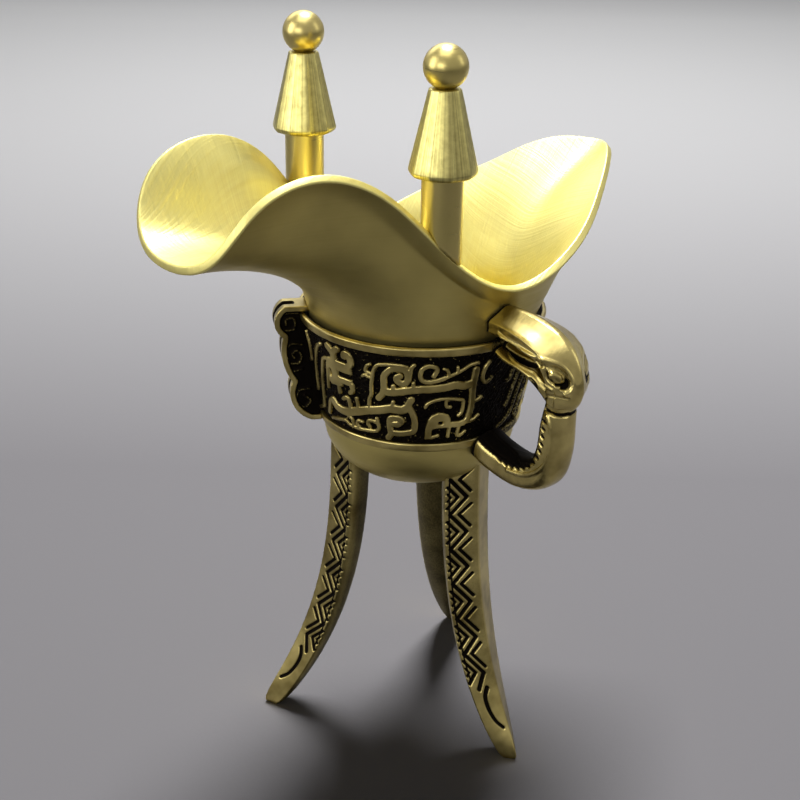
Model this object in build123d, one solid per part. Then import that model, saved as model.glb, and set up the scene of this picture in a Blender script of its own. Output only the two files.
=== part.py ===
from build123d import *
import os
from math import cos, pi, radians, sin, sqrt

# Cast brass jue: a footed wine cup with a pouring spout, a pointed tail, two capped posts on the
# rim, a beast-head handle, two scrolled ridges and three sabre-curved legs.
# Sizes are in millimetres and angles in degrees. The origin lies on the ground under the middle
# of the three feet, +Z is up, the spout points to -X, the tail to +X and the handle to -Y.

# Relief band, a conical sleeve with a raised ring along each edge; the other heights follow it
band_bottom_height = 58.4
band_height = 19.5
band_bottom_radius = 17.4
band_top_radius = 21.0
sleeve_thickness = 1.6
ring_height = 1.5
relief_depth = 0.7
braze_gap = 0.1

# Main strokes of the relief, for one panel of the band: a width, or 0 to fill the outline, and
# points in degrees from the panel's start and shares of the band's height
relief_panels = 3
relief_start_angle = 150
relief_top_gap = 0.1
relief_root_depth = 0.4
relief_bar_width = 1.2
relief_line_width = 0.8
relief_strokes = [
    (relief_line_width, [(13.5, 0.175), (16.8, 0.277), (19.6, 0.472), (23.4, 0.656), (30.4, 0.728)]),
    (0, [
        (27.6, 0.518),
        (35.6, 0.518),
        (35.6, 0.544),
        (44.0, 0.544),
        (44.0, 0.605),
        (35.6, 0.605),
        (35.6, 0.656),
        (44.4, 0.656),
        (44.2, 0.749),
        (28.4, 0.749),
    ]),
    (relief_bar_width, [(21.3, 0.174), (24.3, 0.287), (37.4, 0.277), (51.4, 0.351)]),
    (relief_bar_width, [(51.0, 0.35), (60.4, 0.39), (70.5, 0.405), (74.7, 0.5)]),
    (relief_line_width, [(73.5, 0.436), (76.6, 0.277), (73.1, 0.185), (64.7, 0.167), (63.6, 0.297)]),
    (relief_line_width, [(58.3, 0.497), (61.4, 0.605), (61.8, 0.74), (66.5, 0.8), (72.6, 0.76)]),
    (relief_bar_width, [(61.5, 0.574), (74.9, 0.605), (90.8, 0.631), (103.4, 0.641)]),
    (relief_line_width, [(105.3, 0.774), (104.8, 0.646), (105.2, 0.46), (104.2, 0.29), (96.4, 0.256)]),
    (relief_line_width, [(84.5, 0.82), (79.5, 0.8), (79.5, 0.71), (94.1, 0.749), (101.6, 0.82)]),
    (relief_line_width, [(81.5, 0.455), (89.4, 0.518), (98.3, 0.503), (100.3, 0.37)]),
    (0, [
        (81.6, 0.123),
        (85.2, 0.123),
        (85.4, 0.231),
        (94.8, 0.231),
        (94.8, 0.318),
        (91.0, 0.38),
        (85.0, 0.364),
        (81.9, 0.26),
    ]),
    (relief_line_width, [(23.8, 0.135), (36.0, 0.17), (49.1, 0.146), (56.6, 0.167), (57.2, 0.25)]),
]

# Cup, a liner inside the band that flares into the spout and the tail
wall_thickness = 1.4
cup_bottom_drop = 4.4
cup_bottom_corner = 4.0
cup_corner_angles = [0, 25, 50, 72, 90]
spout_reach = 49.5
tail_reach = 43.9
rim_half_width = 21.7
rim_low_rise = 8.4
rim_crest_rise = 21.5

# Corner points of the rim as shares of the reach, the rim half width and the crest's rise
spout_rim_shares = [
    (1.0, 0.0, 0.363),
    (0.968, 0.452, 0.488),
    (0.869, 0.65, 0.851),
    (0.675, 0.71, 1.0),
    (0.463, 0.779, 0.828),
    (0.263, 0.894, 0.386),
]
tail_rim_shares = [
    (0.0, 1.0, 0.0),
    (0.358, 0.926, 0.144),
    (0.654, 0.608, 0.386),
    (0.888, 0.249, 0.587),
    (0.965, 0.0, 0.576),
]

# How the wall runs up to the rim, at five even turns from the spout tip round to the tail tip:
# its upright and its flared stretch as shares of the run, its lean at the band and its slope at
# the rim
upright_shares = [0.3, 0.47, 0.45, 0.62, 0.37]
flare_shares = [0.33, 0.28, 0.34, 0.41, 0.31]
lean_angles = [11, 11, 11, 26, 17]
rim_slope_angles = [1, 43, 68, 46, 35]
wall_level_shares = [0.0, 0.12, 0.26, 0.42, 0.58, 0.74, 0.88, 1.0]
points_round = 48

# Base, a domed cup under the liner that carries the legs
base_radius = 16.6
base_depth = 10.8
base_roundness = 2.4
base_points = 12
base_gap = 0.1

# Legs
leg_angles = {"leg_handle_side": 270, "leg_spout_side": 150, "leg_tail_side": 30}
foot_circle_radius = 26.4
leg_root_radius = 12.9
leg_top_drop = 1.2
leg_half_width = 4.9
leg_ridge_height = 2.7
leg_back_depth = 4.2
foot_half_width = 1.0
leg_level_shares = [0.0, 0.14, 0.3, 0.44, 0.56, 0.67, 0.77, 0.86, 0.93, 1.0]
leg_ridge_gain_share = 0.33
leg_back_loss_share = 0.5
leg_curve_power = 3
leg_tip_power = 12
spigot_radius = 2.0
spigot_length = 2.8
spigot_clearance = 0.1

# Scrolled ridges on the band, in line with two of the legs
ridge_angles = {"ridge_spout_side": 150, "ridge_tail_side": 30}
ridge_thickness = 4.4
ridge_reach = 4.4
ridge_rise = 1.2
ridge_border = 0.9
ridge_recess = 0.5
ridge_notch_shares = [(0.0, 0.35), (0.35, 0.8), (0.735, 0.8), (1.0, 0.5)]

# Posts astride the rim
post_offset = 11.5
post_spread = 17.1
post_radius = 3.2
post_foot_depth = 3.8
post_cheek_depth = 1.2
post_cheek_start = 0.9
rim_search_steps = 20

# Caps on the posts and the balls on top
cap_bottom_rise = 27.8
cap_bottom_radius = 5.4
cap_neck_radius = 2.5
cap_height = 12.9
cap_edge_radius = 0.8
cap_facets = 10
cap_socket_depth = 4.5
ball_radius = 3.35
ball_sink = 0.3
stud_radius = 1.2
stud_length = 3.0
fit_clearance = 0.1

# Handle: a crest that leaves the cup wall, a jaw under it, a beast head where the two meet, and a
# loop back to the body. Its points are shares of the reach beyond the band and of the height.
handle_reach = 17.2
handle_bottom_drop = 4.4
handle_height = 29.5
loop_half_width = 3.5
loop_half_depth = 2.9
loop_shares = [
    (0.779, 0.644),
    (0.703, 0.458),
    (0.68, 0.288),
    (0.558, 0.146),
    (0.291, 0.092),
    (-0.029, 0.112),
    (-0.267, 0.156),
]
crest_half_width = 4.6
crest_ridge_height = 3.3
crest_under_depth = 3.6
crest_shares = [
    (-0.14, 0.881),
    (0.174, 0.902),
    (0.494, 0.885),
    (0.709, 0.827),
    (0.837, 0.719),
    (0.826, 0.603),
]
crest_width_shares = [0.74, 0.93, 1.0, 0.98, 0.85, 0.57]
crest_ridge_shares = [1.0, 0.94, 0.88, 0.88, 0.79, 0.48]
crest_under_shares = [0.56, 0.44, 0.47, 0.72, 1.0, 0.67]
crest_slope_shares = [(0.0, 1.0), (0.55, 0.72), (1.0, 0.0)]
crest_cheek_shares = [(0.85, 0.7), (0.0, 1.0)]
jaw_half_width = 3.6
jaw_half_depth = 2.0
jaw_shares = [(-0.116, 0.78), (0.116, 0.742), (0.349, 0.732), (0.552, 0.698), (0.709, 0.631)]
jaw_width_shares = [0.72, 0.89, 0.97, 1.0, 0.86]
jaw_depth_shares = [0.6, 0.5, 0.5, 0.8, 1.0]
eye_shares = (0.8, 0.78)
eye_side_share = 0.62
eye_radius = 1.5
ear_shares = (0.483, 0.654)
ear_side_share = 0.8
ear_radius = 1.3

# How far a cutting tool or a filled joint runs past the face it meets
cut_overrun = 5.0

band_top_height = band_bottom_height + band_height
cup_bottom_height = band_bottom_height - cup_bottom_drop
corner_top_height = cup_bottom_height + cup_bottom_corner
leg_top_height = band_bottom_height - leg_top_drop
handle_bottom_height = band_bottom_height - handle_bottom_drop
rim_low_height = band_top_height + rim_low_rise
cap_bottom_height = band_top_height + cap_bottom_rise


def band_radius(height):
    """Outer radius of the band's rings at a height."""
    slope = (band_top_radius - band_bottom_radius) / band_height
    return band_bottom_radius + slope * (height - band_bottom_height)


def liner_radius(height):
    """Outer radius of the cup inside the band at a height."""
    return band_radius(height) - sleeve_thickness


def smooth_value(values, turn):
    """Read evenly spaced values smoothly, from the spout tip (0) to the tail tip (1)."""
    last = len(values) - 1
    index = min(int(turn * last), last - 1)
    part = turn * last - index
    before = values[abs(index - 1)]
    start = values[index]
    end = values[index + 1]
    after = values[min(index + 2, 2 * last - index - 2)]
    bend = 2 * before - 5 * start + 4 * end - after + part * (3 * (start - end) + after - before)
    return start + 0.5 * part * (end - before + part * bend)


def polar(radius, angle, height):
    return Vector(radius * cos(radians(angle)), radius * sin(radians(angle)), height)


def upright_bar(radius, low, high):
    return Pos(0, 0, low) * Cylinder(radius, high - low, align=(Align.CENTER, Align.CENTER, Align.MIN))


def largest_solid(shape):
    """What is left when a piece is cut by its neighbours, without what reached through them."""
    return max(shape.solids(), key=lambda solid: solid.volume)


def revolved(outline):
    """Solid of revolution about Z of an outline of (radius, height) points."""
    points = [(radius, 0, height) for radius, height in outline]
    return revolve(make_face(Polyline(*points, close=True)), axis=Axis.Z)


def make_rim_curve():
    """Corner of the rim, once round from the spout tip by way of the handle side."""
    side = [(-spout_reach * along, across, up) for along, across, up in spout_rim_shares]
    side += [(tail_reach * along, across, up) for along, across, up in tail_rim_shares]
    near = [Vector(x, -rim_half_width * y, rim_low_height + rim_crest_rise * z) for x, y, z in side]
    far = [Vector(point.X, -point.Y, point.Z) for point in near[-2:0:-1]]
    return Spline(*near, *far, periodic=True)


rim_curve = make_rim_curve()
turns = [index / points_round for index in range(points_round)]
rim_points = {turn: rim_curve @ turn for turn in turns}


def wall_point(turn, level):
    """Point on the cup's outer face, at level 0 on the band's edge and at level 1 on the rim."""
    half_turn = min(turn, 1 - turn) * 2
    outward = polar(1, 180 + 360 * turn, 0)
    up = Vector(0, 0, 1)
    rim = rim_points[turn]
    foot = outward * liner_radius(band_top_height) + up * band_top_height
    run = (rim - foot).length
    lean = radians(smooth_value(lean_angles, half_turn))
    slope = radians(smooth_value(rim_slope_angles, half_turn))
    upright = (outward * sin(lean) + up * cos(lean)) * run * smooth_value(upright_shares, half_turn)
    flare = (outward * cos(slope) + up * sin(slope)) * run * smooth_value(flare_shares, half_turn)
    rest = 1 - level
    low_part = foot * rest**3 + (foot + upright) * (3 * level * rest**2)
    high_part = (rim - flare) * (3 * level**2 * rest) + rim * level**3
    return low_part + high_part


def wall_inner_point(index, level):
    """The point one wall thickness inside wall_point."""
    step = 1 / points_round
    before = wall_point(turns[index - 1], level)
    after = wall_point(turns[(index + 1) % points_round], level)
    low = wall_point(turns[index], max(level - step, 0))
    high = wall_point(turns[index], min(level + step, 1))
    outward = (after - before).cross(high - low).normalized()
    if level == 0:
        outward = Vector(outward.X, outward.Y, 0).normalized()
    return wall_point(turns[index], level) - outward * wall_thickness


def level_ring(radius, height):
    return Wire(Spline(*[polar(radius, 180 + 360 * turn, height) for turn in turns], periodic=True))


def lower_rings(inset):
    """Level rings of the liner, from its bottom corner to halfway up the band."""
    corner = cup_bottom_corner - inset
    rings = []
    for angle in cup_corner_angles:
        radius = liner_radius(corner_top_height) - inset - corner * (1 - sin(radians(angle)))
        rings.append(level_ring(radius, corner_top_height - corner * cos(radians(angle))))
    middle = (corner_top_height + band_top_height) / 2
    rings.append(level_ring(liner_radius(middle) - inset, middle))
    return rings


def make_cup():
    """The cup: an outer and an inner skin, closed by the rim face and the two bottoms."""
    outer_rings = lower_rings(0)
    inner_rings = lower_rings(wall_thickness)
    for level in wall_level_shares:
        outer_points = [wall_point(turn, level) for turn in turns]
        inner_points = [wall_inner_point(index, level) for index in range(points_round)]
        outer_rings.append(Wire(Spline(*outer_points, periodic=True)))
        inner_rings.append(Wire(Spline(*inner_points, periodic=True)))
    rim_face = Face.make_surface_from_curves(outer_rings[-1].edge(), inner_rings[-1].edge())
    faces = Shell.make_loft(outer_rings).faces() + Shell.make_loft(inner_rings).faces()
    faces += [rim_face, Face(outer_rings[0]), Face(inner_rings[0])]
    return Solid(Shell(faces))


def band_outline():
    """Outer edge of the band from bottom to top, with the recessed ground between the rings."""
    low_ring = band_bottom_height + ring_height
    high_ring = band_top_height - ring_height
    return [
        (band_radius(band_bottom_height), band_bottom_height),
        (band_radius(low_ring), low_ring),
        (band_radius(low_ring) - relief_depth, low_ring),
        (band_radius(high_ring) - relief_depth, high_ring),
        (band_radius(high_ring), high_ring),
        (band_radius(band_top_height), band_top_height),
    ]


def stroke_outline(points, width):
    """Mitred outline of a stroke along flat points; a width of 0 fills the points."""
    if width == 0:
        return points
    runs = [(end - start).normalized() for start, end in zip(points[:-1], points[1:])]
    one_side = []
    other_side = []
    for point, before, after in zip(points, runs[:1] + runs, runs + runs[-1:]):
        across = Vector(-before.Y - after.Y, before.X + after.X, 0).normalized()
        reach = across * (width / 2 / (across.Y * before.X - across.X * before.Y))
        one_side.append(point + reach)
        other_side.append(point - reach)
    return one_side + other_side[::-1]


def make_relief_stroke(width, shares, shell):
    """One stroke of the relief: its outline carried outwards through the relief's shell."""
    middle = sum(angle for angle, _ in shares) / len(shares)
    points = []
    for angle, share in shares:
        height = band_bottom_height + band_height * share
        points.append(Vector(band_radius(height) * sin(radians(angle - middle)), height, 0))
    outward = polar(1, relief_start_angle + middle, 0)
    plane = Plane(origin=(0, 0, 0), x_dir=(-outward.Y, outward.X, 0), z_dir=outward)
    face = plane * make_face(Polyline(*stroke_outline(points, width), close=True))
    return extrude(face, amount=band_top_radius + cut_overrun, dir=outward) & shell


def make_relief():
    """The main strokes of all panels, each rooted in the sleeve."""
    low_ring = band_bottom_height + ring_height
    high_ring = band_top_height - ring_height
    root = relief_depth + relief_root_depth
    shell = revolved([
        (band_radius(low_ring) - root, low_ring),
        (band_radius(low_ring) - relief_top_gap, low_ring),
        (band_radius(high_ring) - relief_top_gap, high_ring),
        (band_radius(high_ring) - root, high_ring),
    ])
    strokes = [make_relief_stroke(width, shares, shell) for width, shares in relief_strokes]
    turns = [360 / relief_panels * index for index in range(relief_panels)]
    return [Rot(Z=turn) * stroke for turn in turns for stroke in strokes]


def make_relief_band():
    """The sleeve with its rings and the main strokes of its relief."""
    bore_top = (liner_radius(band_top_height) + braze_gap, band_top_height)
    bore_bottom = (liner_radius(band_bottom_height) + braze_gap, band_bottom_height)
    return revolved(band_outline() + [bore_top, bore_bottom]) + make_relief()


def make_band_blank():
    """The band filled to the axis, to shape what sits against it."""
    return revolved(band_outline() + [(0, band_top_height), (0, band_bottom_height)])


def base_surface_height(radius):
    """Height of the base's outer surface at a radius."""
    depth = base_depth * (1 - (radius / base_radius) ** base_roundness) ** (1 / base_roundness)
    return band_bottom_height - depth


def make_base_blank():
    """The domed base before its seat and sockets are cut."""
    radii = [base_radius * sin(pi / 2 * step / base_points) for step in range(1, base_points)]
    low_point = (0, 0, band_bottom_height - base_depth)
    edge_point = (base_radius, 0, band_bottom_height)
    dome_points = [(radius, 0, base_surface_height(radius)) for radius in radii]
    dome = Spline(low_point, *dome_points, edge_point, tangents=[(1, 0, 0), (0, 0, 1)])
    closing = Polyline(edge_point, (0, 0, band_bottom_height), low_point)
    return revolve(make_face(dome + closing), axis=Axis.Z)


def make_base(base_blank):
    """Cut the seat of the liner and a blind socket for each leg into the base."""
    corner = cup_bottom_corner + base_gap
    centre_radius = liner_radius(corner_top_height) - cup_bottom_corner
    flat_radius = centre_radius + sqrt(corner**2 - cup_bottom_corner**2)
    flat_end = (flat_radius, 0, cup_bottom_height)
    arc_middle = (centre_radius + corner * sin(pi / 4), 0, corner_top_height - corner * cos(pi / 4))
    arc_end = (centre_radius + corner, 0, corner_top_height)
    mouth_edge = (liner_radius(band_bottom_height) + base_gap, 0, band_bottom_height)
    top_middle = (0, 0, band_bottom_height)
    seat_middle = (0, 0, cup_bottom_height)
    closing = Polyline(arc_end, mouth_edge, top_middle, seat_middle, flat_end)
    seat = revolve(make_face(ThreePointArc(flat_end, arc_middle, arc_end) + closing), axis=Axis.Z)
    base = base_blank - seat
    socket_mouth = base_surface_height(leg_root_radius)
    socket_top = socket_mouth + spigot_length + spigot_clearance
    socket = upright_bar(spigot_radius + spigot_clearance, socket_mouth - cut_overrun, socket_top)
    for angle in leg_angles.values():
        base -= Pos(polar(leg_root_radius, angle, 0)) * socket
    return base


def leg_section(level):
    """Kite across the leg, from its top (0) to the ground (1): ridge outside, round back inside."""
    height = leg_top_height * (1 - level)
    edge_radius = leg_root_radius + (foot_circle_radius - leg_root_radius) * level**leg_curve_power
    taper = sqrt(1 - level**leg_curve_power)
    half_width = foot_half_width + (leg_half_width - foot_half_width) * taper
    tip_taper = sqrt(1 - level**leg_tip_power)
    tip_depth = foot_half_width * level**leg_tip_power
    ridge_height = leg_ridge_height * (1 + leg_ridge_gain_share * level**2) * tip_taper + tip_depth
    back_depth = leg_back_depth * (1 - leg_back_loss_share * level**2) * tip_taper + tip_depth
    one_edge = (edge_radius, -half_width, height)
    other_edge = (edge_radius, half_width, height)
    roof = Polyline(one_edge, (edge_radius + ridge_height, 0, height), other_edge)
    round_back = ThreePointArc(other_edge, (edge_radius - back_depth, 0, height), one_edge)
    return Wire(roof.edges() + round_back.edges())


def make_leg(angle, base_blank):
    leg = Solid.make_loft([leg_section(level) for level in leg_level_shares])
    leg -= Rot(Z=-angle) * base_blank
    joint_height = base_surface_height(leg_root_radius)
    spigot = upright_bar(spigot_radius, joint_height - cut_overrun, joint_height + spigot_length)
    leg += Pos(leg_root_radius, 0, 0) * spigot
    return Rot(Z=angle) * leg


def ridge_face(root_shift):
    """Side face of a scrolled ridge, its lobes outside and its root inside the wall."""
    low = band_bottom_height
    high = band_top_height + ridge_rise
    notches = []
    for height_share, reach_share in ridge_notch_shares:
        height = low + (high - low) * height_share
        notches.append(Vector(band_radius(height) + ridge_reach * reach_share, 0, height))
    lobes = []
    for start, end in zip(notches[:-1], notches[1:]):
        middle = (start.Z + end.Z) / 2
        lobes.append(ThreePointArc(start, (band_radius(middle) + ridge_reach, 0, middle), end))
    root_high = (liner_radius(band_top_height) - root_shift, 0, high)
    root_low = (band_radius(low) - sleeve_thickness / 2 - root_shift, 0, low)
    return make_face(lobes + [Polyline(notches[-1], root_high, root_low, notches[0])])


def make_ridge(angle, cup, band_blank):
    """A scrolled ridge seated on the band and the wall, with a raised border on both faces."""
    plate = extrude(ridge_face(0), amount=ridge_thickness / 2, both=True)
    pocket_face = offset(ridge_face(ridge_border), amount=-ridge_border)
    for side in (-1, 1):
        floor = side * (ridge_thickness / 2 - ridge_recess)
        pocket = extrude(Pos(0, floor, 0) * pocket_face, amount=cut_overrun, dir=(0, side, 0))
        plate -= pocket
    return Rot(Z=angle) * plate - cup - band_blank


def rim_height_at(offset_along):
    """Height of the rim's corner at a place along the vessel, found by halving."""
    low_turn = 0
    high_turn = 1 / 2
    for _ in range(rim_search_steps):
        middle = (low_turn + high_turn) / 2
        if (rim_curve @ middle).X < offset_along:
            low_turn = middle
        else:
            high_turn = middle
    return (rim_curve @ low_turn).Z


def make_post(side, cup):
    """A round post slotted over the rim: a foot inside the cup and a short cheek outside."""
    rim_height = rim_height_at(-post_offset)
    bar = upright_bar(post_radius, rim_height - post_foot_depth, cap_bottom_height + cap_socket_depth)
    cut_width = post_radius + cut_overrun
    cut = Box(2 * cut_width, cut_width, post_foot_depth, align=(Align.CENTER, Align.MIN, Align.MAX))
    cut = Pos(0, post_cheek_start, rim_height - post_cheek_depth) * cut
    if side < 0:
        cut = mirror(cut, about=Plane.XZ)
    post = Pos(-post_offset, side * post_spread, 0) * (bar - cut)
    return largest_solid(post - cup)


def make_cap(side):
    """A faceted cone with a socket for the post below and a dished seat for the ball on top."""
    bottom = RegularPolygon(cap_bottom_radius, cap_facets)
    neck = Pos(0, 0, cap_height) * RegularPolygon(cap_neck_radius, cap_facets)
    cap = loft([bottom.face(), neck.face()])
    cap = fillet(cap.faces().sort_by(Axis.Z)[0].edges(), cap_edge_radius)
    cap -= upright_bar(post_radius + fit_clearance, 0, cap_socket_depth)
    cap -= upright_bar(stud_radius + fit_clearance, cap_height - stud_length - fit_clearance, cap_height)
    cap -= Pos(0, 0, cap_height + ball_radius - ball_sink) * Sphere(ball_radius)
    return Pos(-post_offset, side * post_spread, cap_bottom_height) * cap


def make_ball(side):
    """A ball with the stud that holds it in the cap."""
    centre = cap_height + ball_radius - ball_sink
    stud = upright_bar(stud_radius, cap_height - stud_length, centre)
    ball = Pos(0, 0, centre) * Sphere(ball_radius) + stud
    return Pos(-post_offset, side * post_spread, cap_bottom_height) * ball


def handle_point(reach_share, height_share, sideways=0):
    radius = band_top_radius + handle_reach * reach_share
    return Vector(sideways, -radius, handle_bottom_height + handle_height * height_share)


def handle_planes(shares):
    """Planes across the handle at its outline points, local +Y away from the grip's inside."""
    points = [handle_point(*pair) for pair in shares]
    last = len(points) - 1
    planes = []
    for index, point in enumerate(points):
        along = points[min(index + 1, last)] - points[max(index - 1, 0)]
        planes.append(Plane(origin=point, x_dir=(1, 0, 0), z_dir=along))
    return planes


def crest_section(plane, width_share, ridge_share, under_share):
    """Roof-shaped section of the crest: a ridge line, two slopes, upright cheeks, a keel below."""
    width = crest_half_width * width_share
    ridge = crest_ridge_height * ridge_share
    under = crest_under_depth * under_share
    slope = [(width * across, ridge * up) for across, up in crest_slope_shares]
    cheek = [(width * across, -under * down) for across, down in crest_cheek_shares]
    right = slope + cheek
    left = [(-x, y) for x, y in right[-2:0:-1]]
    return (plane * Polyline(*right, *left, close=True)).wire()


def make_crest():
    sections = []
    planes = handle_planes(crest_shares)
    for values in zip(planes, crest_width_shares, crest_ridge_shares, crest_under_shares):
        sections.append(crest_section(*values))
    return Solid.make_loft(sections)


def make_jaw():
    sections = []
    for plane, width, depth in zip(handle_planes(jaw_shares), jaw_width_shares, jaw_depth_shares):
        sections.append((plane * Ellipse(jaw_half_width * width, jaw_half_depth * depth)).wire())
    return Solid.make_loft(sections)


def make_loop():
    outline = Ellipse(loop_half_width, loop_half_depth)
    return Solid.make_loft([(plane * outline).wire() for plane in handle_planes(loop_shares)])


def make_handle(cup, band_blank, base_blank):
    handle = make_crest() + make_jaw() + make_loop()
    for side in (-1, 1):
        eye_centre = handle_point(*eye_shares, side * crest_half_width * eye_side_share)
        ear_centre = handle_point(*ear_shares, side * jaw_half_width * ear_side_share)
        handle += Pos(eye_centre) * Sphere(eye_radius)
        handle += Pos(ear_centre) * Sphere(ear_radius)
    return largest_solid(handle - cup - band_blank - base_blank)


cup = make_cup()
band_blank = make_band_blank()
base_blank = make_base_blank()
parts = {"cup": cup, "relief_band": make_relief_band(), "base": make_base(base_blank)}
parts["handle"] = make_handle(cup, band_blank, base_blank)
for name, angle in leg_angles.items():
    parts[name] = make_leg(angle, base_blank)
for name, angle in ridge_angles.items():
    parts[name] = make_ridge(angle, cup, band_blank)
for word, side in (("front", -1), ("back", 1)):
    parts[f"post_{word}"] = make_post(side, cup)
    parts[f"cap_{word}"] = make_cap(side)
    parts[f"ball_{word}"] = make_ball(side)
os.makedirs("parts", exist_ok=True)
for name, shape in parts.items():
    export_step(shape, f"parts/{name}.step")
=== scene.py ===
from math import atan, cos, pi, radians, sin

import bpy
import numpy as np
from bpy.props import FloatProperty, FloatVectorProperty, IntProperty, PointerProperty
from mathutils import Matrix, Vector


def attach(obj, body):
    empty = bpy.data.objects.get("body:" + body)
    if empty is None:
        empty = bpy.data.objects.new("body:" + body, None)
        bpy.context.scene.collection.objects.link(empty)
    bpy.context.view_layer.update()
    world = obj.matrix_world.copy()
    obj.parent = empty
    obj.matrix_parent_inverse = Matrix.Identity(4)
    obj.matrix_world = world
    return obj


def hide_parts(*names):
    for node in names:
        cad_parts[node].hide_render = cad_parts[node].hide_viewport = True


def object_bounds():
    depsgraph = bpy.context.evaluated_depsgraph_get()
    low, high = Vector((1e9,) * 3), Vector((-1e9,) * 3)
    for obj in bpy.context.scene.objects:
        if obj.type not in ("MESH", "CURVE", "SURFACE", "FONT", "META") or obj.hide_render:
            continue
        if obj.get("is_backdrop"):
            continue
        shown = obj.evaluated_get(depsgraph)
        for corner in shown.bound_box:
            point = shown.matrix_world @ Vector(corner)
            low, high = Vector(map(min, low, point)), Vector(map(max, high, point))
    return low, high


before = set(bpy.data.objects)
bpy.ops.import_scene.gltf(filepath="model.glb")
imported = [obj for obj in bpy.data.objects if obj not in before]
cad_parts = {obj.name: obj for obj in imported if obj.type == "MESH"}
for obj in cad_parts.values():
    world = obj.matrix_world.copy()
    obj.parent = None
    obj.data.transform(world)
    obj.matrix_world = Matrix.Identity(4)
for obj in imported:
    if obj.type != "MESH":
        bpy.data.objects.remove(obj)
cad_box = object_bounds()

# The looks of a cast brass jue: its cup, relief band, legs, ridges, handle, capped posts and stage.
# Outlines and patterns are written in millimetres and turned to metres when a mesh is placed.
# +Z is up, the spout points to -X, the tail to +X and the handle to -Y.

bl_info = {
    "name": "Cast Brass Jue",
    "version": (1, 0, 0),
    "blender": (4, 5, 0),
    "location": "View3D > Sidebar > Jue",
    "description": "Models a footed wine cup with relief, a beast-head handle and capped posts",
    "category": "Add Mesh",
}

MM = 0.001
TINY = 1e-12


def linear(hex_colour):
    """Linear colour of an sRGB hex value."""
    shares = [int(hex_colour[place:place + 2], 16) / 255 for place in (1, 3, 5)]
    return [s / 12.92 if s <= 0.04045 else ((s + 0.055) / 1.055) ** 2.4 for s in shares]


# Sizes of the cast body in millimetres, as the solids have them
BAND_BOTTOM, BAND_TOP = 58.4, 77.9
BAND_BOTTOM_RADIUS, BAND_TOP_RADIUS = 17.4, 21.0
SLEEVE = 1.6
RING_HEIGHT, RING_EDGE = 1.5, 0.35
WALL = 1.4
CUP_BOTTOM, CUP_CORNER = 54.0, 4.0
BASE_RADIUS, BASE_DEPTH, BASE_ROUNDNESS = 16.6, 10.8, 2.4
LEG_TOP, LEG_ROOT, FOOT_CIRCLE = 57.2, 12.9, 26.4
POST_OFFSET, POST_SPREAD = 11.5, 17.1
CAP_BOTTOM, CAP_HEIGHT, CAP_RADIUS, CAP_NECK = 105.7, 12.9, 5.4, 2.5
POST_SOCKET, STUD_SOCKET = 3.3, 1.3
BALL_RADIUS, BALL_SINK = 3.35, 0.3
STUD_RADIUS, STUD_DEPTH = 1.2, 3

# The rim, as shares of its reach, of its half width and of the height of its crest
SPOUT_REACH, TAIL_REACH, RIM_HALF_WIDTH = 49.5, 43.9, 21.7
RIM_LOW, RIM_CREST = 86.3, 21.5
SPOUT_RIM = [(1, 0, 0.363), (0.968, 0.452, 0.488), (0.869, 0.65, 0.851), (0.675, 0.71, 1),
             (0.463, 0.779, 0.828), (0.263, 0.894, 0.386)]
TAIL_RIM = [(0, 1, 0), (0.358, 0.926, 0.144), (0.654, 0.608, 0.386), (0.888, 0.249, 0.587),
            (0.965, 0, 0.576)]
# The wall at five even steps from the spout's tip to the tail's: how far it rises and flares, as
# shares of the way to the rim, its lean at the foot and its slope at the rim, both in degrees
UPRIGHTS = [0.3, 0.47, 0.45, 0.62, 0.37]
FLARES = [0.33, 0.28, 0.34, 0.41, 0.31]
LEANS = [11, 11, 11, 26, 17]
RIM_SLOPES = [1, 43, 68, 46, 35]

# Camera of the photograph, in millimetres, degrees and pixels
CAMERA_DISTANCE, CAMERA_BEARING, CAMERA_HEIGHT = 231.307, 228.6085, 163.563
CAMERA_YAW, CAMERA_PITCH, CAMERA_ROLL = 0.8409, 24.1436, 0.9904
CAMERA_FOCAL_PIXELS, PHOTO_WIDTH_PIXELS, SENSOR_WIDTH = 1459.868, 800, 36
CAMERA_PLACE = (CAMERA_DISTANCE * cos(radians(CAMERA_BEARING)),
                CAMERA_DISTANCE * sin(radians(CAMERA_BEARING)), CAMERA_HEIGHT)


# Modelling helpers


def deselect():
    """Leave nothing selected."""
    bpy.ops.object.select_all(action="DESELECT")


def make_active(piece):
    """Select one piece and make it active."""
    deselect()
    piece.select_set(True)
    bpy.context.view_layer.objects.active = piece


def unit(vectors):
    """Vectors of the same direction and of length 1."""
    return vectors / np.linalg.norm(vectors, axis=-1, keepdims=True)


def dots(one, other):
    """Dot product of each row of one list with the same row of the other."""
    return np.einsum("ij,ij->i", one, other)


def run_lengths(line):
    """Length along a line up to each of its points."""
    return np.concatenate([[0], np.cumsum(np.linalg.norm(np.diff(line, axis=0), axis=1))])


def smooth_step(value):
    """Ease from 0 to 1 as a value goes from 0 to 1."""
    value = np.clip(value, 0, 1)
    return value * value * (3 - 2 * value)


def set_values(piece, name, values):
    """Keep one number for each vertex, which a material reads by that name."""
    attributes = piece.data.attributes
    attribute = attributes.get(name) or attributes.new(name, "FLOAT", "POINT")
    attribute.data.foreach_set("value", np.asarray(values, np.float32).ravel())


def read_values(piece, name):
    """Numbers kept for the vertices by that name."""
    values = np.empty(len(piece.data.vertices), np.float32)
    piece.data.attributes[name].data.foreach_get("value", values)
    return values


def vertex_places(mesh):
    """Places of the vertices in millimetres."""
    places = np.empty(len(mesh.vertices) * 3, np.float32)
    mesh.vertices.foreach_get("co", places)
    return places.reshape(-1, 3).astype(float) / MM


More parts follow.
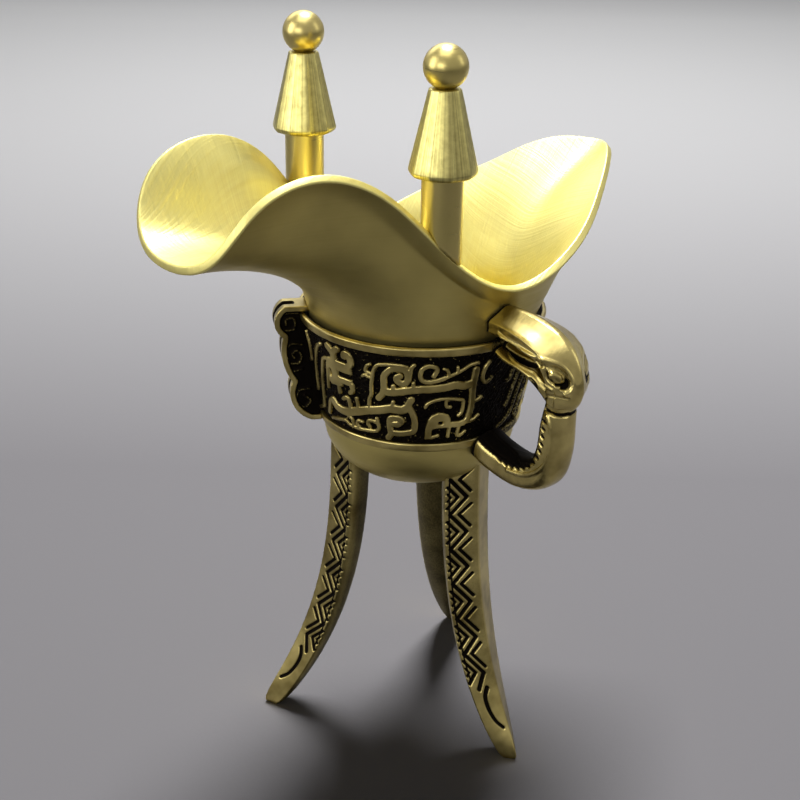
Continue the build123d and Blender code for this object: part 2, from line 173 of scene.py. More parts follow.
def place_vertices(mesh, places):
    """Move the vertices to places in millimetres."""
    mesh.vertices.foreach_set("co", (places * MM).astype(np.float32).ravel())
    mesh.update()


def vertex_normals(mesh):
    """Outward directions at the vertices."""
    normals = np.empty(len(mesh.vertices) * 3, np.float32)
    mesh.vertex_normals.foreach_get("vector", normals)
    return normals.reshape(-1, 3).astype(float)


def close_skin():
    """Merge the seam of the active piece, fill its open ends and turn its faces outwards."""
    bpy.ops.object.mode_set(mode="EDIT")
    bpy.ops.mesh.select_all(action="SELECT")
    bpy.ops.mesh.remove_doubles(threshold=0.002 * MM)
    bpy.ops.mesh.fill_holes(sides=0)
    bpy.ops.mesh.select_all(action="SELECT")
    bpy.ops.mesh.normals_make_consistent(inside=False)
    bpy.ops.object.mode_set(mode="OBJECT")


def loft(name, rings, **values):
    """Closed skin over rings of points, from a grid bent round along them."""
    rows, columns = rings.shape[:2]
    deselect()
    bpy.ops.mesh.primitive_grid_add(x_subdivisions=columns, y_subdivisions=rows - 1, size=1)
    piece = bpy.context.object
    piece.name = piece.data.name = name
    place_vertices(piece.data, np.concatenate([rings, rings[:, :1]], axis=1).reshape(-1, 3))
    for value_name, table in values.items():
        set_values(piece, value_name, np.concatenate([table, table[:, :1]], axis=1))
    close_skin()
    bpy.ops.object.shade_smooth()
    return piece


def level_ring(radius, height, turns, centre=(0, 0)):
    """Points round an upright axis at one height."""
    return np.stack([centre[0] + radius * np.cos(turns), centre[1] + radius * np.sin(turns),
                     np.full(len(turns), height)], axis=1)


def arc(centre, radius, start, end, count):
    """Arc in a (radius, height) section, its angles in radians up from level."""
    return [(centre[0] + radius * cos(bend), centre[1] + radius * sin(bend))
            for bend in np.linspace(start, end, count)]


def turn_up(name, profile, sides, centre=(0, 0)):
    """A round piece, from a circle extruded and resized along its (radius, height) profile."""
    deselect()
    radius, height = profile[0]
    place = (centre[0] * MM, centre[1] * MM, height * MM)
    bpy.ops.mesh.primitive_circle_add(vertices=sides, radius=radius * MM, location=place)
    piece = bpy.context.object
    piece.name = piece.data.name = name
    bpy.ops.object.mode_set(mode="EDIT")
    bpy.ops.mesh.select_all(action="SELECT")
    for next_radius, next_height in profile[1:]:
        rise = (0, 0, (next_height - height) * MM)
        bpy.ops.mesh.extrude_region_move(TRANSFORM_OT_translate={"value": rise})
        share = next_radius / radius
        bpy.ops.transform.resize(value=(share, share, 1), center_override=(*place[:2], 0))
        radius, height = next_radius, next_height
    bpy.ops.object.mode_set(mode="OBJECT")
    bpy.ops.object.transform_apply(location=True, rotation=True, scale=True)
    close_skin()
    bpy.ops.object.shade_smooth_by_angle(angle=radians(35))
    return piece


def own_copy(piece, name):
    """Copy with its own mesh, left active."""
    make_active(piece)
    bpy.ops.object.duplicate(linked=False)
    copy = bpy.context.object
    copy.name = copy.data.name = name
    return copy


def turned_copy(piece, name, angle, mirrored=False):
    """Copy turned about the upright axis, its place kept in the mesh."""
    copy = own_copy(piece, name)
    if mirrored:
        places = vertex_places(copy.data)
        places[:, 1] *= -1
        place_vertices(copy.data, places)
        copy.data.flip_normals()
    copy.rotation_euler.z = radians(angle)
    bpy.ops.object.transform_apply(location=True, rotation=True, scale=True)
    return copy


def even_skin(piece, voxel, rounds):
    """Remake the active piece as one even, fine skin with softened edges."""
    remesh = piece.modifiers.new("even skin", "REMESH")
    remesh.mode = "VOXEL"
    remesh.voxel_size = voxel * MM
    bpy.ops.object.modifier_apply(modifier=remesh.name)
    soften = piece.modifiers.new("soft casting", "SMOOTH")
    soften.iterations = rounds
    bpy.ops.object.modifier_apply(modifier=soften.name)
    bpy.ops.object.shade_smooth()
    return piece


def solid_copy(node, name, voxel, rounds):
    """Even, fine skin over a copy of a solid, for carving."""
    copy = own_copy(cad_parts[node], name)
    for key in list(copy.keys()):
        del copy[key]
    copy.parent = None
    bpy.ops.object.mode_set(mode="EDIT")
    bpy.ops.mesh.select_all(action="SELECT")
    bpy.ops.mesh.remove_doubles(threshold=0.001 * MM)
    bpy.ops.object.mode_set(mode="OBJECT")
    return even_skin(copy, voxel, rounds)


def smooth_between(before, start, end, after, share):
    """Place on the smooth run from start to end, steered by the points before and after them."""
    bend = 2 * before - 5 * start + 4 * end - after + share * (3 * (start - end) + after - before)
    return start + 0.5 * share * (end - before + share * bend)


def rounded_line(points, steps=5):
    """Points of a smooth line through given ones."""
    points = np.array(points, float)
    if len(points) < 3:
        return points
    around = np.concatenate([2 * points[:1] - points[1:2], points, 2 * points[-1:] - points[-2:-1]])
    line = []
    for corners in zip(around, around[1:], around[2:], around[3:]):
        line += [smooth_between(*corners, share) for share in np.arange(steps) / steps]
    return np.array([*line, points[-1]])


def line_distance(points, line):
    """Distance of flat points from a line of straight runs."""
    nearest = np.full(len(points), np.inf)
    for start, end in zip(line[:-1], line[1:]):
        run = end - start
        share = np.clip((points - start) @ run / max(run @ run, TINY), 0, 1)
        away = points - start - share[:, None] * run
        nearest = np.minimum(nearest, np.hypot(away[:, 0], away[:, 1]))
    return nearest


def inside_outline(points, outline):
    """Which flat points lie within a closed outline."""
    inside = np.zeros(len(points), bool)
    for start, end in zip(outline, np.roll(outline, -1, axis=0)):
        crosses = (start[1] > points[:, 1]) != (end[1] > points[:, 1])
        rise = end[1] - start[1] if end[1] != start[1] else TINY
        where = start[0] + (points[:, 1] - start[1]) / rise * (end[0] - start[0])
        inside ^= crosses & (points[:, 0] < where)
    return inside


def stroke_share(points, stroke, softness):
    """How far each flat point lies within a stroke: 1 along its middle, 0 beyond its edge.

    A stroke is (width, points), and a width of 0 fills the outline that the points make.
    """
    width, corners = stroke
    shares = np.zeros(len(points))
    line = rounded_line(corners) if width else np.array(corners, float)
    margin = width / 2 + softness
    near = np.all((points > line.min(0) - margin) & (points < line.max(0) + margin), axis=1)
    if not near.any():
        return shares
    if width:
        away = line_distance(points[near], line)
    else:
        ring = np.concatenate([line, line[:1]])
        away = line_distance(points[near], ring)
        away[inside_outline(points[near], line)] *= -1
    shares[near] = smooth_step((margin - away) / (2 * softness))
    return shares


def relaxed(mesh, values, rounds):
    """Values or places of the vertices, evened out over their neighbours."""
    pairs = np.empty(len(mesh.edges) * 2, np.int32)
    mesh.edges.foreach_get("vertices", pairs)
    one, other = pairs.reshape(-1, 2).T
    count = len(mesh.vertices)
    degree = np.bincount(one, minlength=count) + np.bincount(other, minlength=count)
    values = values.reshape(count, -1).copy()
    for _ in range(rounds):
        for axis in range(values.shape[1]):
            column = values[:, axis]
            total = np.bincount(one, column[other], count) + np.bincount(other, column[one], count)
            values[:, axis] = 0.5 * column + 0.5 * total / np.maximum(degree, 1)
    return values.squeeze()


def hollow_share(mesh, rounds, depth):
    """How deep each vertex lies in a hollow, from 0 on open surfaces to 1."""
    places = vertex_places(mesh)
    sunk = dots(relaxed(mesh, places, rounds) - places, vertex_normals(mesh))
    return np.clip(sunk / depth, 0, 1)


def finish_piece(piece, material, slot, *nodes):
    """Give a piece its finish and its place among the solids."""
    piece.data.materials.clear()
    piece.data.materials.append(material)
    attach(piece, "root")
    if nodes:
        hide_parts(*nodes)


# Materials


def add_node(material, kind, inputs=None, **settings):
    """Add a node with its settings; inputs are values or the sockets that feed it."""
    tree = material.node_tree
    node = tree.nodes.new(kind)
    for name, value in settings.items():
        setattr(node, name, value)
    for name, source in (inputs or {}).items():
        if isinstance(source, bpy.types.NodeSocket):
            tree.links.new(source, node.inputs[name])
        else:
            node.inputs[name].default_value = source
    return node


def new_material(name):
    """A material without nodes yet."""
    material = bpy.data.materials.new(name)
    material.use_nodes = True
    material.node_tree.nodes.clear()
    return material


def finish_metal(material, tone, gloss, normal):
    """Close a metal with its shader and output."""
    inputs = {"Metallic": 1.0, "Base Color": tone, "Roughness": gloss, "Normal": normal}
    shader = add_node(material, "ShaderNodeBsdfPrincipled", inputs)
    add_node(material, "ShaderNodeOutputMaterial", {"Surface": shader.outputs["BSDF"]})
    return material


def surface_place(material):
    """Place on the piece, in metres of the shared frame."""
    return add_node(material, "ShaderNodeTexCoord").outputs["Object"]


def kept_value(material, name):
    """Number kept for the vertices by that name."""
    return add_node(material, "ShaderNodeAttribute", attribute_name=name).outputs["Fac"]


def worked_out(material, operation, one, other):
    """Sum, larger value or the like of two values."""
    return add_node(material, "ShaderNodeMath", {0: one, 1: other}, operation=operation).outputs[0]


def noise(material, where, scale, detail):
    """Plain noise from 0 to 1."""
    inputs = {"Vector": where, "Scale": scale, "Detail": detail, "Roughness": 0.55}
    return add_node(material, "ShaderNodeTexNoise", inputs).outputs["Fac"]


def spread(material, value, low, high, new_low=0.0, new_high=1.0):
    """Stretch a value from one range to another."""
    inputs = {"Value": value, "From Min": low, "From Max": high, "To Min": new_low, "To Max": new_high}
    return add_node(material, "ShaderNodeMapRange", inputs, clamp=True).outputs["Result"]


def mixed(material, share, one, other):
    """Mix two colours by a share."""
    inputs = {0: share, 6: one, 7: other}
    return add_node(material, "ShaderNodeMix", inputs, data_type="RGBA").outputs[2]


def streaks(material, turn, marks, detail=3.0, where=None):
    """Noise drawn out along one way, as a brush or a file leaves it.

    Marks are the sizes of a mark in millimetres along its own axes, turned by radians.
    """
    where = where or surface_place(material)
    inputs = {"Vector": where, "Rotation": turn, "Scale": [size * MM for size in marks]}
    mapped = add_node(material, "ShaderNodeMapping", inputs, vector_type="TEXTURE").outputs["Vector"]
    return noise(material, mapped, 1.0, detail)


def mottle(material, scale, detail=3.0):
    """Cloudy noise, its scale the number of spots in a metre."""
    return noise(material, surface_place(material), scale, detail)


def bump(material, height, depth, strength):
    """Shading of fine relief, its depth in millimetres."""
    inputs = {"Height": height, "Distance": depth * MM, "Strength": strength}
    return add_node(material, "ShaderNodeBump", inputs).outputs["Normal"]


def satin_antique_brass(finishes):
    """Brass, satin brushed round the body and toned olive.

    The eye gets a soft sheen with fine level lines and slow clouds of darker tone.
    """
    material = new_material("satin antique brass")
    # brush lines about 0.3 mm apart, which run level round the body
    lines = streaks(material, (0, 0, 0), (16, 16, 0.3))
    # clouds about 14 mm across
    clouds = mottle(material, 70)
    tone = mixed(material, spread(material, clouds, 0.35, 0.68, 0, 0.4), (*finishes.olive_brass, 1),
                 (*finishes.dark_brass, 1))
    normal = bump(material, lines, depth=0.02, strength=0.35)
    gloss = spread(material, lines, 0.3, 0.7, 0.36, 0.5)
    return finish_metal(material, tone, gloss, normal)


def brushed_bright_brass(finishes):
    """Brass, brushed by hand with a coarse pad and left bright.

    The eye gets a pale yellow glow, broken by crossing hairline scratches.
    """
    material = new_material("brushed bright brass")
    # straight hairlines about 0.3 mm apart along the spout and the tail, and fainter ones across
    first = streaks(material, (0, 0, 0.28), (18, 0.3, 30), detail=2.0)
    second = streaks(material, (0, 0, 0.1), (0.34, 18, 30), detail=2.0)
    part = spread(material, second, 0.3, 0.8, 0, 0.5)
    lines = worked_out(material, "ADD", first, part)
    # clouds about 11 mm across
    clouds = mottle(material, 90)
    scored = spread(material, lines, 0.45, 0.88)
    base = mixed(material, spread(material, clouds, 0.3, 1.1), (*finishes.bright_brass, 1),
                 (*finishes.gold_brass, 1))
    tone = mixed(material, scored, (*finishes.bright_brass, 1), base)
    normal = bump(material, lines, depth=0.06, strength=0.9)
    gloss = spread(material, lines, 0.4, 1, 0.4, 0.56)
    return finish_metal(material, tone, gloss, normal)


def cast_patina_and_shade_brass(name, finishes, edges, roughness, grit=0.12):
    """Cast brass, dipped black and rubbed back on the high places.

    The eye gets gold lines with soft worn edges out of a near-black, sandy ground, and the same
    black paints shade where a piece asks for it. Edges are the shares of the piece's darkening
    at which the black starts and is full, and grit frays them.
    """
    material = new_material(name)
    # black of the hollows, with painted shade laid in by some pieces
    depth = kept_value(material, "recess")
    # casting sand about 0.3 mm, drawn coarser than real grit so that it shows
    sand = mottle(material, 3200, detail=2.0)
    shift = spread(material, sand, 0.3, 0.7, -grit, grit)
    black = spread(material, worked_out(material, "ADD", depth, shift), *edges)
    # clouds about 6 mm across
    clouds = spread(material, mottle(material, 160), 0.35, 0.7)
    metal = mixed(material, clouds, (*finishes.gold_brass, 1), (*finishes.dark_brass, 1))
    tone = mixed(material, black, metal, (*finishes.patina_and_shade, 1))
    lines = streaks(material, (0.2, 0.1, 0.4), (3, 0.5, 1.5))
    gloss = spread(material, black, 0, 1, roughness, 0.62)
    grain = mixed(material, black, lines, sand)
    normal = bump(material, grain, depth=0.05, strength=0.45)
    return finish_metal(material, tone, gloss, normal)


def polished_brass(finishes):
    """Brass, turned and polished, then toned.

    The eye gets a clear gloss with soft, bent reflections and a few hairlines.
    """
    material = new_material("polished brass")
    # turning marks about 0.3 mm apart, and clouds about 6 mm across
    lines = streaks(material, (0.05, 0, 0), (7, 7, 0.3))
    clouds = mottle(material, 180)
    tone = mixed(material, spread(material, clouds, 0.3, 0.75), (*finishes.gold_brass, 1),
                 (*finishes.olive_brass, 1))
    gloss = spread(material, lines, 0.3, 0.7, 0.27, 0.38)
    normal = bump(material, lines, depth=0.01, strength=0.2)
    return finish_metal(material, tone, gloss, normal)


def brushed_cap_brass(finishes):
    """Brass, brushed up and down the facets of the caps.

    The eye gets long silky lines that break up one broad bright facet.
    """
    material = new_material("brushed cap brass")
    # brush lines about 0.3 mm apart, which run together towards the top of the cone
    inputs = {"X": kept_value(material, "brush_x"), "Y": kept_value(material, "brush_y")}
    where = add_node(material, "ShaderNodeCombineXYZ", inputs).outputs[0]
    fine = streaks(material, (0, 0, 0), (0.3, 0.3, 1), where=where)
    lines = mixed(material, 0.3, fine, mottle(material, 900))
    tone = mixed(material, spread(material, lines, 0.35, 0.72), (*finishes.bright_brass, 1),
                 (*finishes.dark_brass, 1))
    gloss = spread(material, lines, 0.3, 0.7, 0.25, 0.42)
    normal = bump(material, lines, depth=0.03, strength=0.6)
    return finish_metal(material, tone, gloss, normal)


# The cup

CUP_COLUMNS, CUP_ROWS = 240, 64


def closed_spline(corners, count):
    """Points at even steps along the smooth closed line through the corners."""
    corners = np.array(corners)
    total = len(corners)
    ahead = np.roll(corners, -1, axis=0) - corners
    spans = np.linalg.norm(ahead, axis=1)
    spans_behind = np.roll(spans, 1)
    system = np.zeros((total, total))
    pulls = np.zeros((total, 3))
    for place in range(total):
        before, after = spans_behind[place], spans[place]
        system[place, place - 1] += 1 / before
        system[place, place] += 2 / before + 2 / after
        system[place, (place + 1) % total] += 1 / after
        pulls[place] = 3 * (ahead[place - 1] / before**2 + ahead[place] / after**2)
    slopes = np.linalg.solve(system, pulls)
    steps = 400
    share = np.arange(steps)[:, None] / steps
    line = []
    for place in range(total):
        start, end, span = corners[place], corners[(place + 1) % total], spans[place]
        here, there = slopes[place] * span, slopes[(place + 1) % total] * span
        line.append((2 * share**3 - 3 * share**2 + 1) * start + (share**3 - 2 * share**2 + share) * here
                    + (3 * share**2 - 2 * share**3) * end + (share**3 - share**2) * there)
    line = np.concatenate(line + [corners[:1]])
    lengths = run_lengths(line)
    marks = np.arange(count) / count * lengths[-1]
    return np.stack([np.interp(marks, lengths, line[:, axis]) for axis in range(3)], axis=1)


def rim_line(count):
    """Points round the rim, from the spout's tip along the handle's side to the tail and back."""
    side = [(-SPOUT_REACH * along, across, up) for along, across, up in SPOUT_RIM]
    side += [(TAIL_REACH * along, across, up) for along, across, up in TAIL_RIM]
    near = [(x, -RIM_HALF_WIDTH * y, RIM_LOW + RIM_CREST * z) for x, y, z in side]
    far = [(x, -y, z) for x, y, z in near[-2:0:-1]]
    return closed_spline(near + far, count)


def smooth_values(values, turns):
    """Read evenly spaced values smoothly, from the spout's tip (0) to the tail's (1)."""
    values = np.array(values, float)
    last = len(values) - 1
    index = np.minimum((turns * last).astype(int), last - 1)
    share = turns * last - index
    before, start, end = values[np.abs(index - 1)], values[index], values[index + 1]
    after = values[np.minimum(index + 2, 2 * last - index - 2)]
    return smooth_between(before, start, end, after, share)


def band_radius(height):
    """Outer radius of the band's cone."""
    slope = (BAND_TOP_RADIUS - BAND_BOTTOM_RADIUS) / (BAND_TOP - BAND_BOTTOM)
    return BAND_BOTTOM_RADIUS + slope * (height - BAND_BOTTOM)


def wall_rings(count, levels):
    """Outer rings of the wall, from the band's edge (level 0) to the rim (level 1)."""
    turns = np.arange(count) / count
    half_turns = np.minimum(turns, 1 - turns) * 2
    facing = pi + 2 * pi * turns
    outward = np.stack([np.cos(facing), np.sin(facing), np.zeros(count)], axis=1)
    up = np.array([0, 0, 1.0])
    rim = rim_line(count)
    foot = outward * (band_radius(BAND_TOP) - SLEEVE) + up * BAND_TOP
    run = np.linalg.norm(rim - foot, axis=1)
    leans = np.radians(smooth_values(LEANS, half_turns))[:, None]
    slopes = np.radians(smooth_values(RIM_SLOPES, half_turns))[:, None]
    rise = (run * smooth_values(UPRIGHTS, half_turns))[:, None]
    reach = (run * smooth_values(FLARES, half_turns))[:, None]
    upright = (outward * np.sin(leans) + up * np.cos(leans)) * rise
    flare = (outward * np.cos(slopes) + up * np.sin(slopes)) * reach
    rings = []
    for level in levels:
        rest = 1 - level
        rings.append(foot * rest**3 + (foot + upright) * 3 * level * rest**2
                     + (rim - flare) * 3 * level**2 * rest + rim * level**3)
    return np.array(rings)


def cup_rings(count, rows, lip):
    """Rings from the cup's bottom, up its outside, round the lip and down its inside."""
    # the rows stand a little closer together towards the rim
    levels = np.linspace(0, 1, rows) ** 0.9
    outer = wall_rings(count, levels)
    across = np.roll(outer, -1, axis=1) - np.roll(outer, 1, axis=1)
    along = np.gradient(outer, axis=0)
    outward = np.cross(across, along)
    outward[0, :, 2] = 0
    outward = unit(outward)
    inner = outer - outward * WALL
    down = unit(outer[-2] - outer[-1])
    over = -outward[-1]
    bends = np.radians([0, 18, 36, 54, 72, 90])
    lip_rings = [outer[-1] + lip * ((1 - cos(b)) * over + (1 - sin(b)) * down) for b in bends]
    lip_rings += [inner[-1] + lip * ((cos(b) - 1) * over + (1 - sin(b)) * down) for b in bends[::-1]]
    facing = pi + 2 * pi * np.arange(count) / count
    top = CUP_BOTTOM + CUP_CORNER
    centre = band_radius(top) - SLEEVE - CUP_CORNER
    low_rings = []
    for inset in (0, WALL):
        corner = CUP_CORNER - inset
        section = [(share * centre, top - corner) for share in (0.03, 0.35, 0.7)]
        section += arc((centre, top), corner, -pi / 2, 0, 10)
        section += [(band_radius(height) - SLEEVE - inset, height)
                    for height in np.linspace(top, BAND_TOP, 8)[1:-1]]
        low_rings.append([level_ring(radius, height, facing) for radius, height in section])
    low_outer, low_inner = low_rings
    # the rows nearest the rim give way to the lip's round, on a wall of the usual height
    usual_run = 25
    keep = levels < 1 - 1.2 * lip / usual_run
    rings = low_outer + list(outer[keep]) + lip_rings + list(inner[keep][::-1]) + low_inner[::-1]
    inside_start = len(low_outer) + keep.sum()
    return np.array(rings), inside_start


# The relief

PANEL_START, PANEL_TURN, MM_PER_DEGREE = 150, 120, 0.335
PANEL_STEP, PANEL_MARGIN = 0.112, 1.1
GROUND_DEPTH, BACK_DEPTH = 0.7, 1.1
SAND_HEIGHT, SAND_SEED = 0.16, 7
# Strokes of one panel of the relief, (width in mm, [(degrees round the body, height in mm)]).
# A width of 0 fills the outline.
RELIEF_LINES = [
    (0.5, [(174.3, 74.8), (170.6, 74), (166.8, 71.7), (164.5, 69.9), (161.4, 66.6), (160.7, 65.4),
           (158.9, 64.5)]),
    (0.5, [(180.4, 72.6), (175.5, 72.4), (173.4, 71.2), (169.6, 67.6), (166.8, 63.8), (165.2, 62.4),
           (162.1, 61.7), (155.1, 60.6)]),
    (0.45, [(178, 71.8), (176.9, 69.8), (175.9, 68.2), (175.2, 67)]),
    (1.0, [(180.6, 75.2), (183.4, 74.3), (183.6, 73)]),
    (0.9, [(186.9, 75.3), (185, 74.8), (183.6, 74)]),
    (1.2, [(180, 72.35), (186, 72.4), (192, 72.3)]),
    (0.9, [(192, 72.4), (194.2, 73.2), (194.4, 74.1), (193.2, 74.9), (191.4, 74.85), (190.9, 74.4)]),
    (0, [(185.5, 71.2), (194.4, 71.2), (194.2, 73), (185.5, 73)]),
    (0, [(177.6, 68.5), (185.5, 68.4), (185.7, 72.4), (178.4, 72.4)]),
    (0, [(185.3, 69), (194, 69), (194, 70.2), (185.3, 70.3)]),
    (0.7, [(193.5, 69.3), (193.7, 68.3), (192, 67.75)]),
    (0.6, [(180, 68.5), (183, 68.65), (186.5, 68.7)]),
    (0.6, [(184.5, 68.4), (184.6, 67.7), (184.5, 67.1)]),
    (0.7, [(171.3, 61.8), (172.9, 62.9), (174.3, 64), (175.5, 64.6), (178, 64.8)]),
    (1.2, [(178, 64.7), (179.9, 64), (182.7, 63.7), (187.4, 63.7), (192, 64.15), (196.7, 64.7),
           (201.4, 65.25), (206, 65.6), (210.4, 66), (214.7, 66.4), (219.8, 66.3), (222.6, 66.8)]),
    (0.6, [(190.7, 64.6), (190.6, 65.7), (189.7, 66.5), (187.9, 66.4), (186.7, 66.1)]),
    (0.5, [(196, 65), (195.6, 67)]),
    (0.5, [(214.7, 66.6), (215.6, 67.7)]),
    (0.9, [(222.4, 66.9), (224.7, 68.4)]),
    (0.85, [(223.5, 66.9), (224.5, 66.3), (225.9, 65.1), (226.6, 63.8), (225.9, 62.4), (223.1, 62),
            (218.4, 61.7), (214.7, 61.65), (212.3, 60.7)]),
    (0.85, [(213.7, 61.9), (213.4, 63.2), (213.6, 64.2), (215.1, 64.6), (218.4, 64.6), (219.6, 64.15),
            (217.9, 63.5), (216, 63.45)]),
    (0.5, [(202.7, 66.4), (203.2, 67.6), (204.4, 68.5), (204.8, 70.1), (205.5, 71.7), (206.5, 73),
           (208.1, 74), (210.4, 74.45), (215.1, 74.65), (219.8, 74.6), (222.6, 74.4)]),
    (0.45, [(204.8, 74.1), (203.2, 73.7), (202.5, 72.8), (204.4, 72.5)]),
    (0.45, [(200.6, 71.7), (202, 72), (203.9, 71.7)]),
    (0.85, [(208.3, 68.1), (210, 68.8), (211.1, 69.5), (211.4, 71), (211.6, 72.3), (213.3, 73.2),
            (215.6, 73.8), (219.3, 74), (222.1, 73.7), (223.1, 72.7), (222.6, 71.8), (220.7, 71.3),
            (218.4, 71.65), (217.7, 72.3), (219.1, 72.7)]),
    (0.5, [(225.9, 74.9), (224.7, 74.3), (224.2, 73.2), (223.8, 72.1)]),
    (1.1, [(211.5, 69.6), (214.7, 69.5), (219.3, 69.8), (224.9, 70.2), (230.1, 70.4), (235.2, 70.5),
           (240.8, 70.7), (245.5, 71), (250.2, 70.7), (253.4, 70.9)]),
    (0.6, [(216, 69.8), (216, 70.7)]),
    (0.5, [(225.4, 70.4), (225.6, 71.5)]),
    (0.85, [(255.3, 73.5), (255.1, 72.4), (254.8, 71.2), (254.8, 69.8), (255.1, 68.2), (255.3, 66.65),
            (254.8, 65.2), (254, 64.15), (251.1, 63.5), (246.4, 63.4)]),
    (0.5, [(255, 67.2), (258.6, 67.6), (260, 68)]),
    (0.5, [(254.4, 63.6), (257.6, 63.8), (260, 64.5)]),
    (0.6, [(235, 72.9), (235.9, 73.5), (236.3, 74.15), (234.7, 74.6), (231.9, 74.7), (229.6, 74.15),
           (228.7, 73.05), (229.6, 72.1), (232.4, 71.75), (236.1, 72), (239.9, 72.4)]),
    (0.45, [(239.9, 72.4), (244.1, 73), (248.3, 73.7), (251.6, 74.4), (255.8, 74.7)]),
    (0.4, [(239.4, 74.15), (241.3, 73.8), (242, 72.9)]),
    (0.4, [(246, 74.3), (246, 73.2)]),
    (0.45, [(231.5, 67), (232.4, 67.6), (235.2, 68.2), (239.4, 68.5), (243.6, 68.45), (248.3, 68.2),
            (250.4, 67.9), (250.7, 67), (250.4, 65.7), (248.8, 65.1)]),
    (0.45, [(241.8, 68.2), (241.8, 67.5), (242.4, 66.95), (244.1, 66.9)]),
    (0, [(231.9, 62.9), (233.1, 64.6), (235, 65.5), (238, 65.95), (241, 65.8), (243.6, 65.4),
         (245, 64.6), (244.8, 62.9), (238, 62.9), (235.4, 62.7), (235.2, 60.8), (231.6, 60.8)]),
    (0.5, [(235, 61.1), (238.5, 61.5)]),
    (0.5, [(244.5, 62.9), (244.1, 61.2)]),
    (0, [(244, 62.95), (253, 62.95), (253, 64), (244, 64)]),
    (0.5, [(249.7, 63), (249.2, 61.3), (251.1, 61.2), (253.4, 61.8)]),
    (0.5, [(173.8, 60.95), (178, 61.3), (182.7, 61.65), (186, 61.8), (188.8, 61.3), (194.4, 61.2),
           (199.1, 61.25), (203.3, 61.4), (206.1, 61.65), (207.2, 62.3), (207, 63), (206.3, 64)]),
    (0.5, [(206.1, 63.2), (203.7, 63.4), (201.4, 63.2), (200.9, 62.7), (201.9, 62.1)]),
    (0.45, [(188.8, 62.9), (190.7, 62.6), (191.4, 61.65)]),
    (0.45, [(197.7, 62.7), (194.9, 62.7), (193.9, 62.1), (194.9, 61.5)]),
    (0.5, [(262.4, 74.6), (260, 73.4), (259.4, 71.6), (261.6, 70.6), (264.6, 71.4)]),
    (0.5, [(158, 74.9), (159.8, 72.6), (158.4, 70.2), (155.8, 69.6)]),
]
# Gaps cut out of those strokes, in the same way
RELIEF_GAPS = [
    (0, [(186, 70.3), (193.5, 70.3), (193.5, 70.95), (186, 70.95)]),
    (0.4, [(180.1, 69.9), (180.1, 70.9)]),
    (0.8, [(180.9, 67.7), (181.1, 67.7)]),
    (0.55, [(239.3, 63.95), (240.1, 63.95)]),
]


def panel_strokes(flat, strokes, softness, widening=1):
    """How far each flat point of a panel lies within any of its strokes."""
    shares = np.zeros(len(flat))
    for width, corners in strokes:
        line = [((turn - PANEL_START) * MM_PER_DEGREE, height) for turn, height in corners]
        shares = np.maximum(shares, stroke_share(flat, (width * widening, line), softness))
    return shares


def relief_panel(sizes, name):
    """One of three panels: gold strokes raised from a sandy ground, on the cone of the band."""
    columns = int(PANEL_TURN * MM_PER_DEGREE / PANEL_STEP) + 1
    low, high = BAND_BOTTOM + PANEL_MARGIN, BAND_TOP - PANEL_MARGIN
    degrees = np.linspace(0, PANEL_TURN, columns)
    across, up = np.meshgrid(degrees * MM_PER_DEGREE, np.arange(low, high, PANEL_STEP), indexing="ij")
    flat = np.stack([across.ravel(), up.ravel()], axis=1)
    raised = panel_strokes(flat, RELIEF_LINES, softness=0.12, widening=sizes.stroke_share)
    raised *= 1 - panel_strokes(flat, RELIEF_GAPS, softness=0.13)
    raised = raised.reshape(across.shape)
    grains = np.random.RandomState(SAND_SEED).rand(*across.shape)
    for axis in (0, 1):
        grains = (np.roll(grains, 1, axis) + grains + np.roll(grains, -1, axis)) / 3
    sand = np.clip((grains - 0.5) * 4, -1, 1) * SAND_HEIGHT * (1 - raised)
    # the strokes end a little below the rings
    height_above = raised * (sizes.relief_height / MM - 0.08) + sand
    radius = band_radius(up) - GROUND_DEPTH + height_above
    facing = np.radians(PANEL_START + degrees)
    outer = np.stack([radius * np.cos(facing)[:, None], radius * np.sin(facing)[:, None], up], axis=2)
    backs = [level_ring(band_radius(height) - BACK_DEPTH, height, facing)[:, None]
             for height in (high, low)]
    # the highest grains are rubbed to a speck of gold
    recess = 1 - raised - 8 * np.clip(sand - 0.07, 0, 1)
    return loft(name, np.concatenate([outer, *backs], axis=1),
                recess=np.concatenate([recess, np.ones((columns, 2))], axis=1))


def ring_section(low, high):
    """Rounded outer edge of one of the band's rings, from its bottom to its top."""
    points = []
    for centre, start in ((low + RING_EDGE, -90), (high - RING_EDGE, 0)):
        points += arc((band_radius(centre) - RING_EDGE, centre), RING_EDGE, radians(start),
                      radians(start + 90), 7)
    return points


def band_rings_profile():
    """Section of the sleeve: a rounded ring along each edge and the bore behind the relief."""
    low, high, behind = BAND_BOTTOM + RING_HEIGHT, BAND_TOP - RING_HEIGHT, 0.9
    points = [(band_radius(BAND_BOTTOM) - SLEEVE + 0.1, BAND_BOTTOM),
              (band_radius(BAND_BOTTOM) - RING_EDGE, BAND_BOTTOM)]
    points += ring_section(BAND_BOTTOM, low)
    points += [(band_radius(low) - behind, low), (band_radius(high) - behind, high)]
    points += ring_section(high, BAND_TOP)
    # a groove parts the upper ring from the wall
    groove, bottom = band_radius(BAND_TOP) - SLEEVE + 0.6, BAND_TOP - 0.7
    points += [(groove, BAND_TOP), (groove - 0.08, bottom), (groove - 0.5, bottom)]
    return points + points[:1]


def paint_handle_shade(piece):
    """Painted shade: black laid on the band and its rings beside the handle, where the handle shades
    them.
    """
    places = vertex_places(piece.data)
    past_handle = np.degrees(np.arctan2(places[:, 0], -places[:, 1]))
    # in degrees: it reaches further on the tail's side, as the photograph shows it
    middle, half, fade = 10, 17, 6
    # hidden is the share of painted shade, whole behind the handle and fading off at its sides
    hidden = 1 - smooth_step((np.abs(past_handle - middle) - half) / fade)
    set_values(piece, "recess", np.maximum(read_values(piece, "recess"), 0.56 * hidden))


# The legs

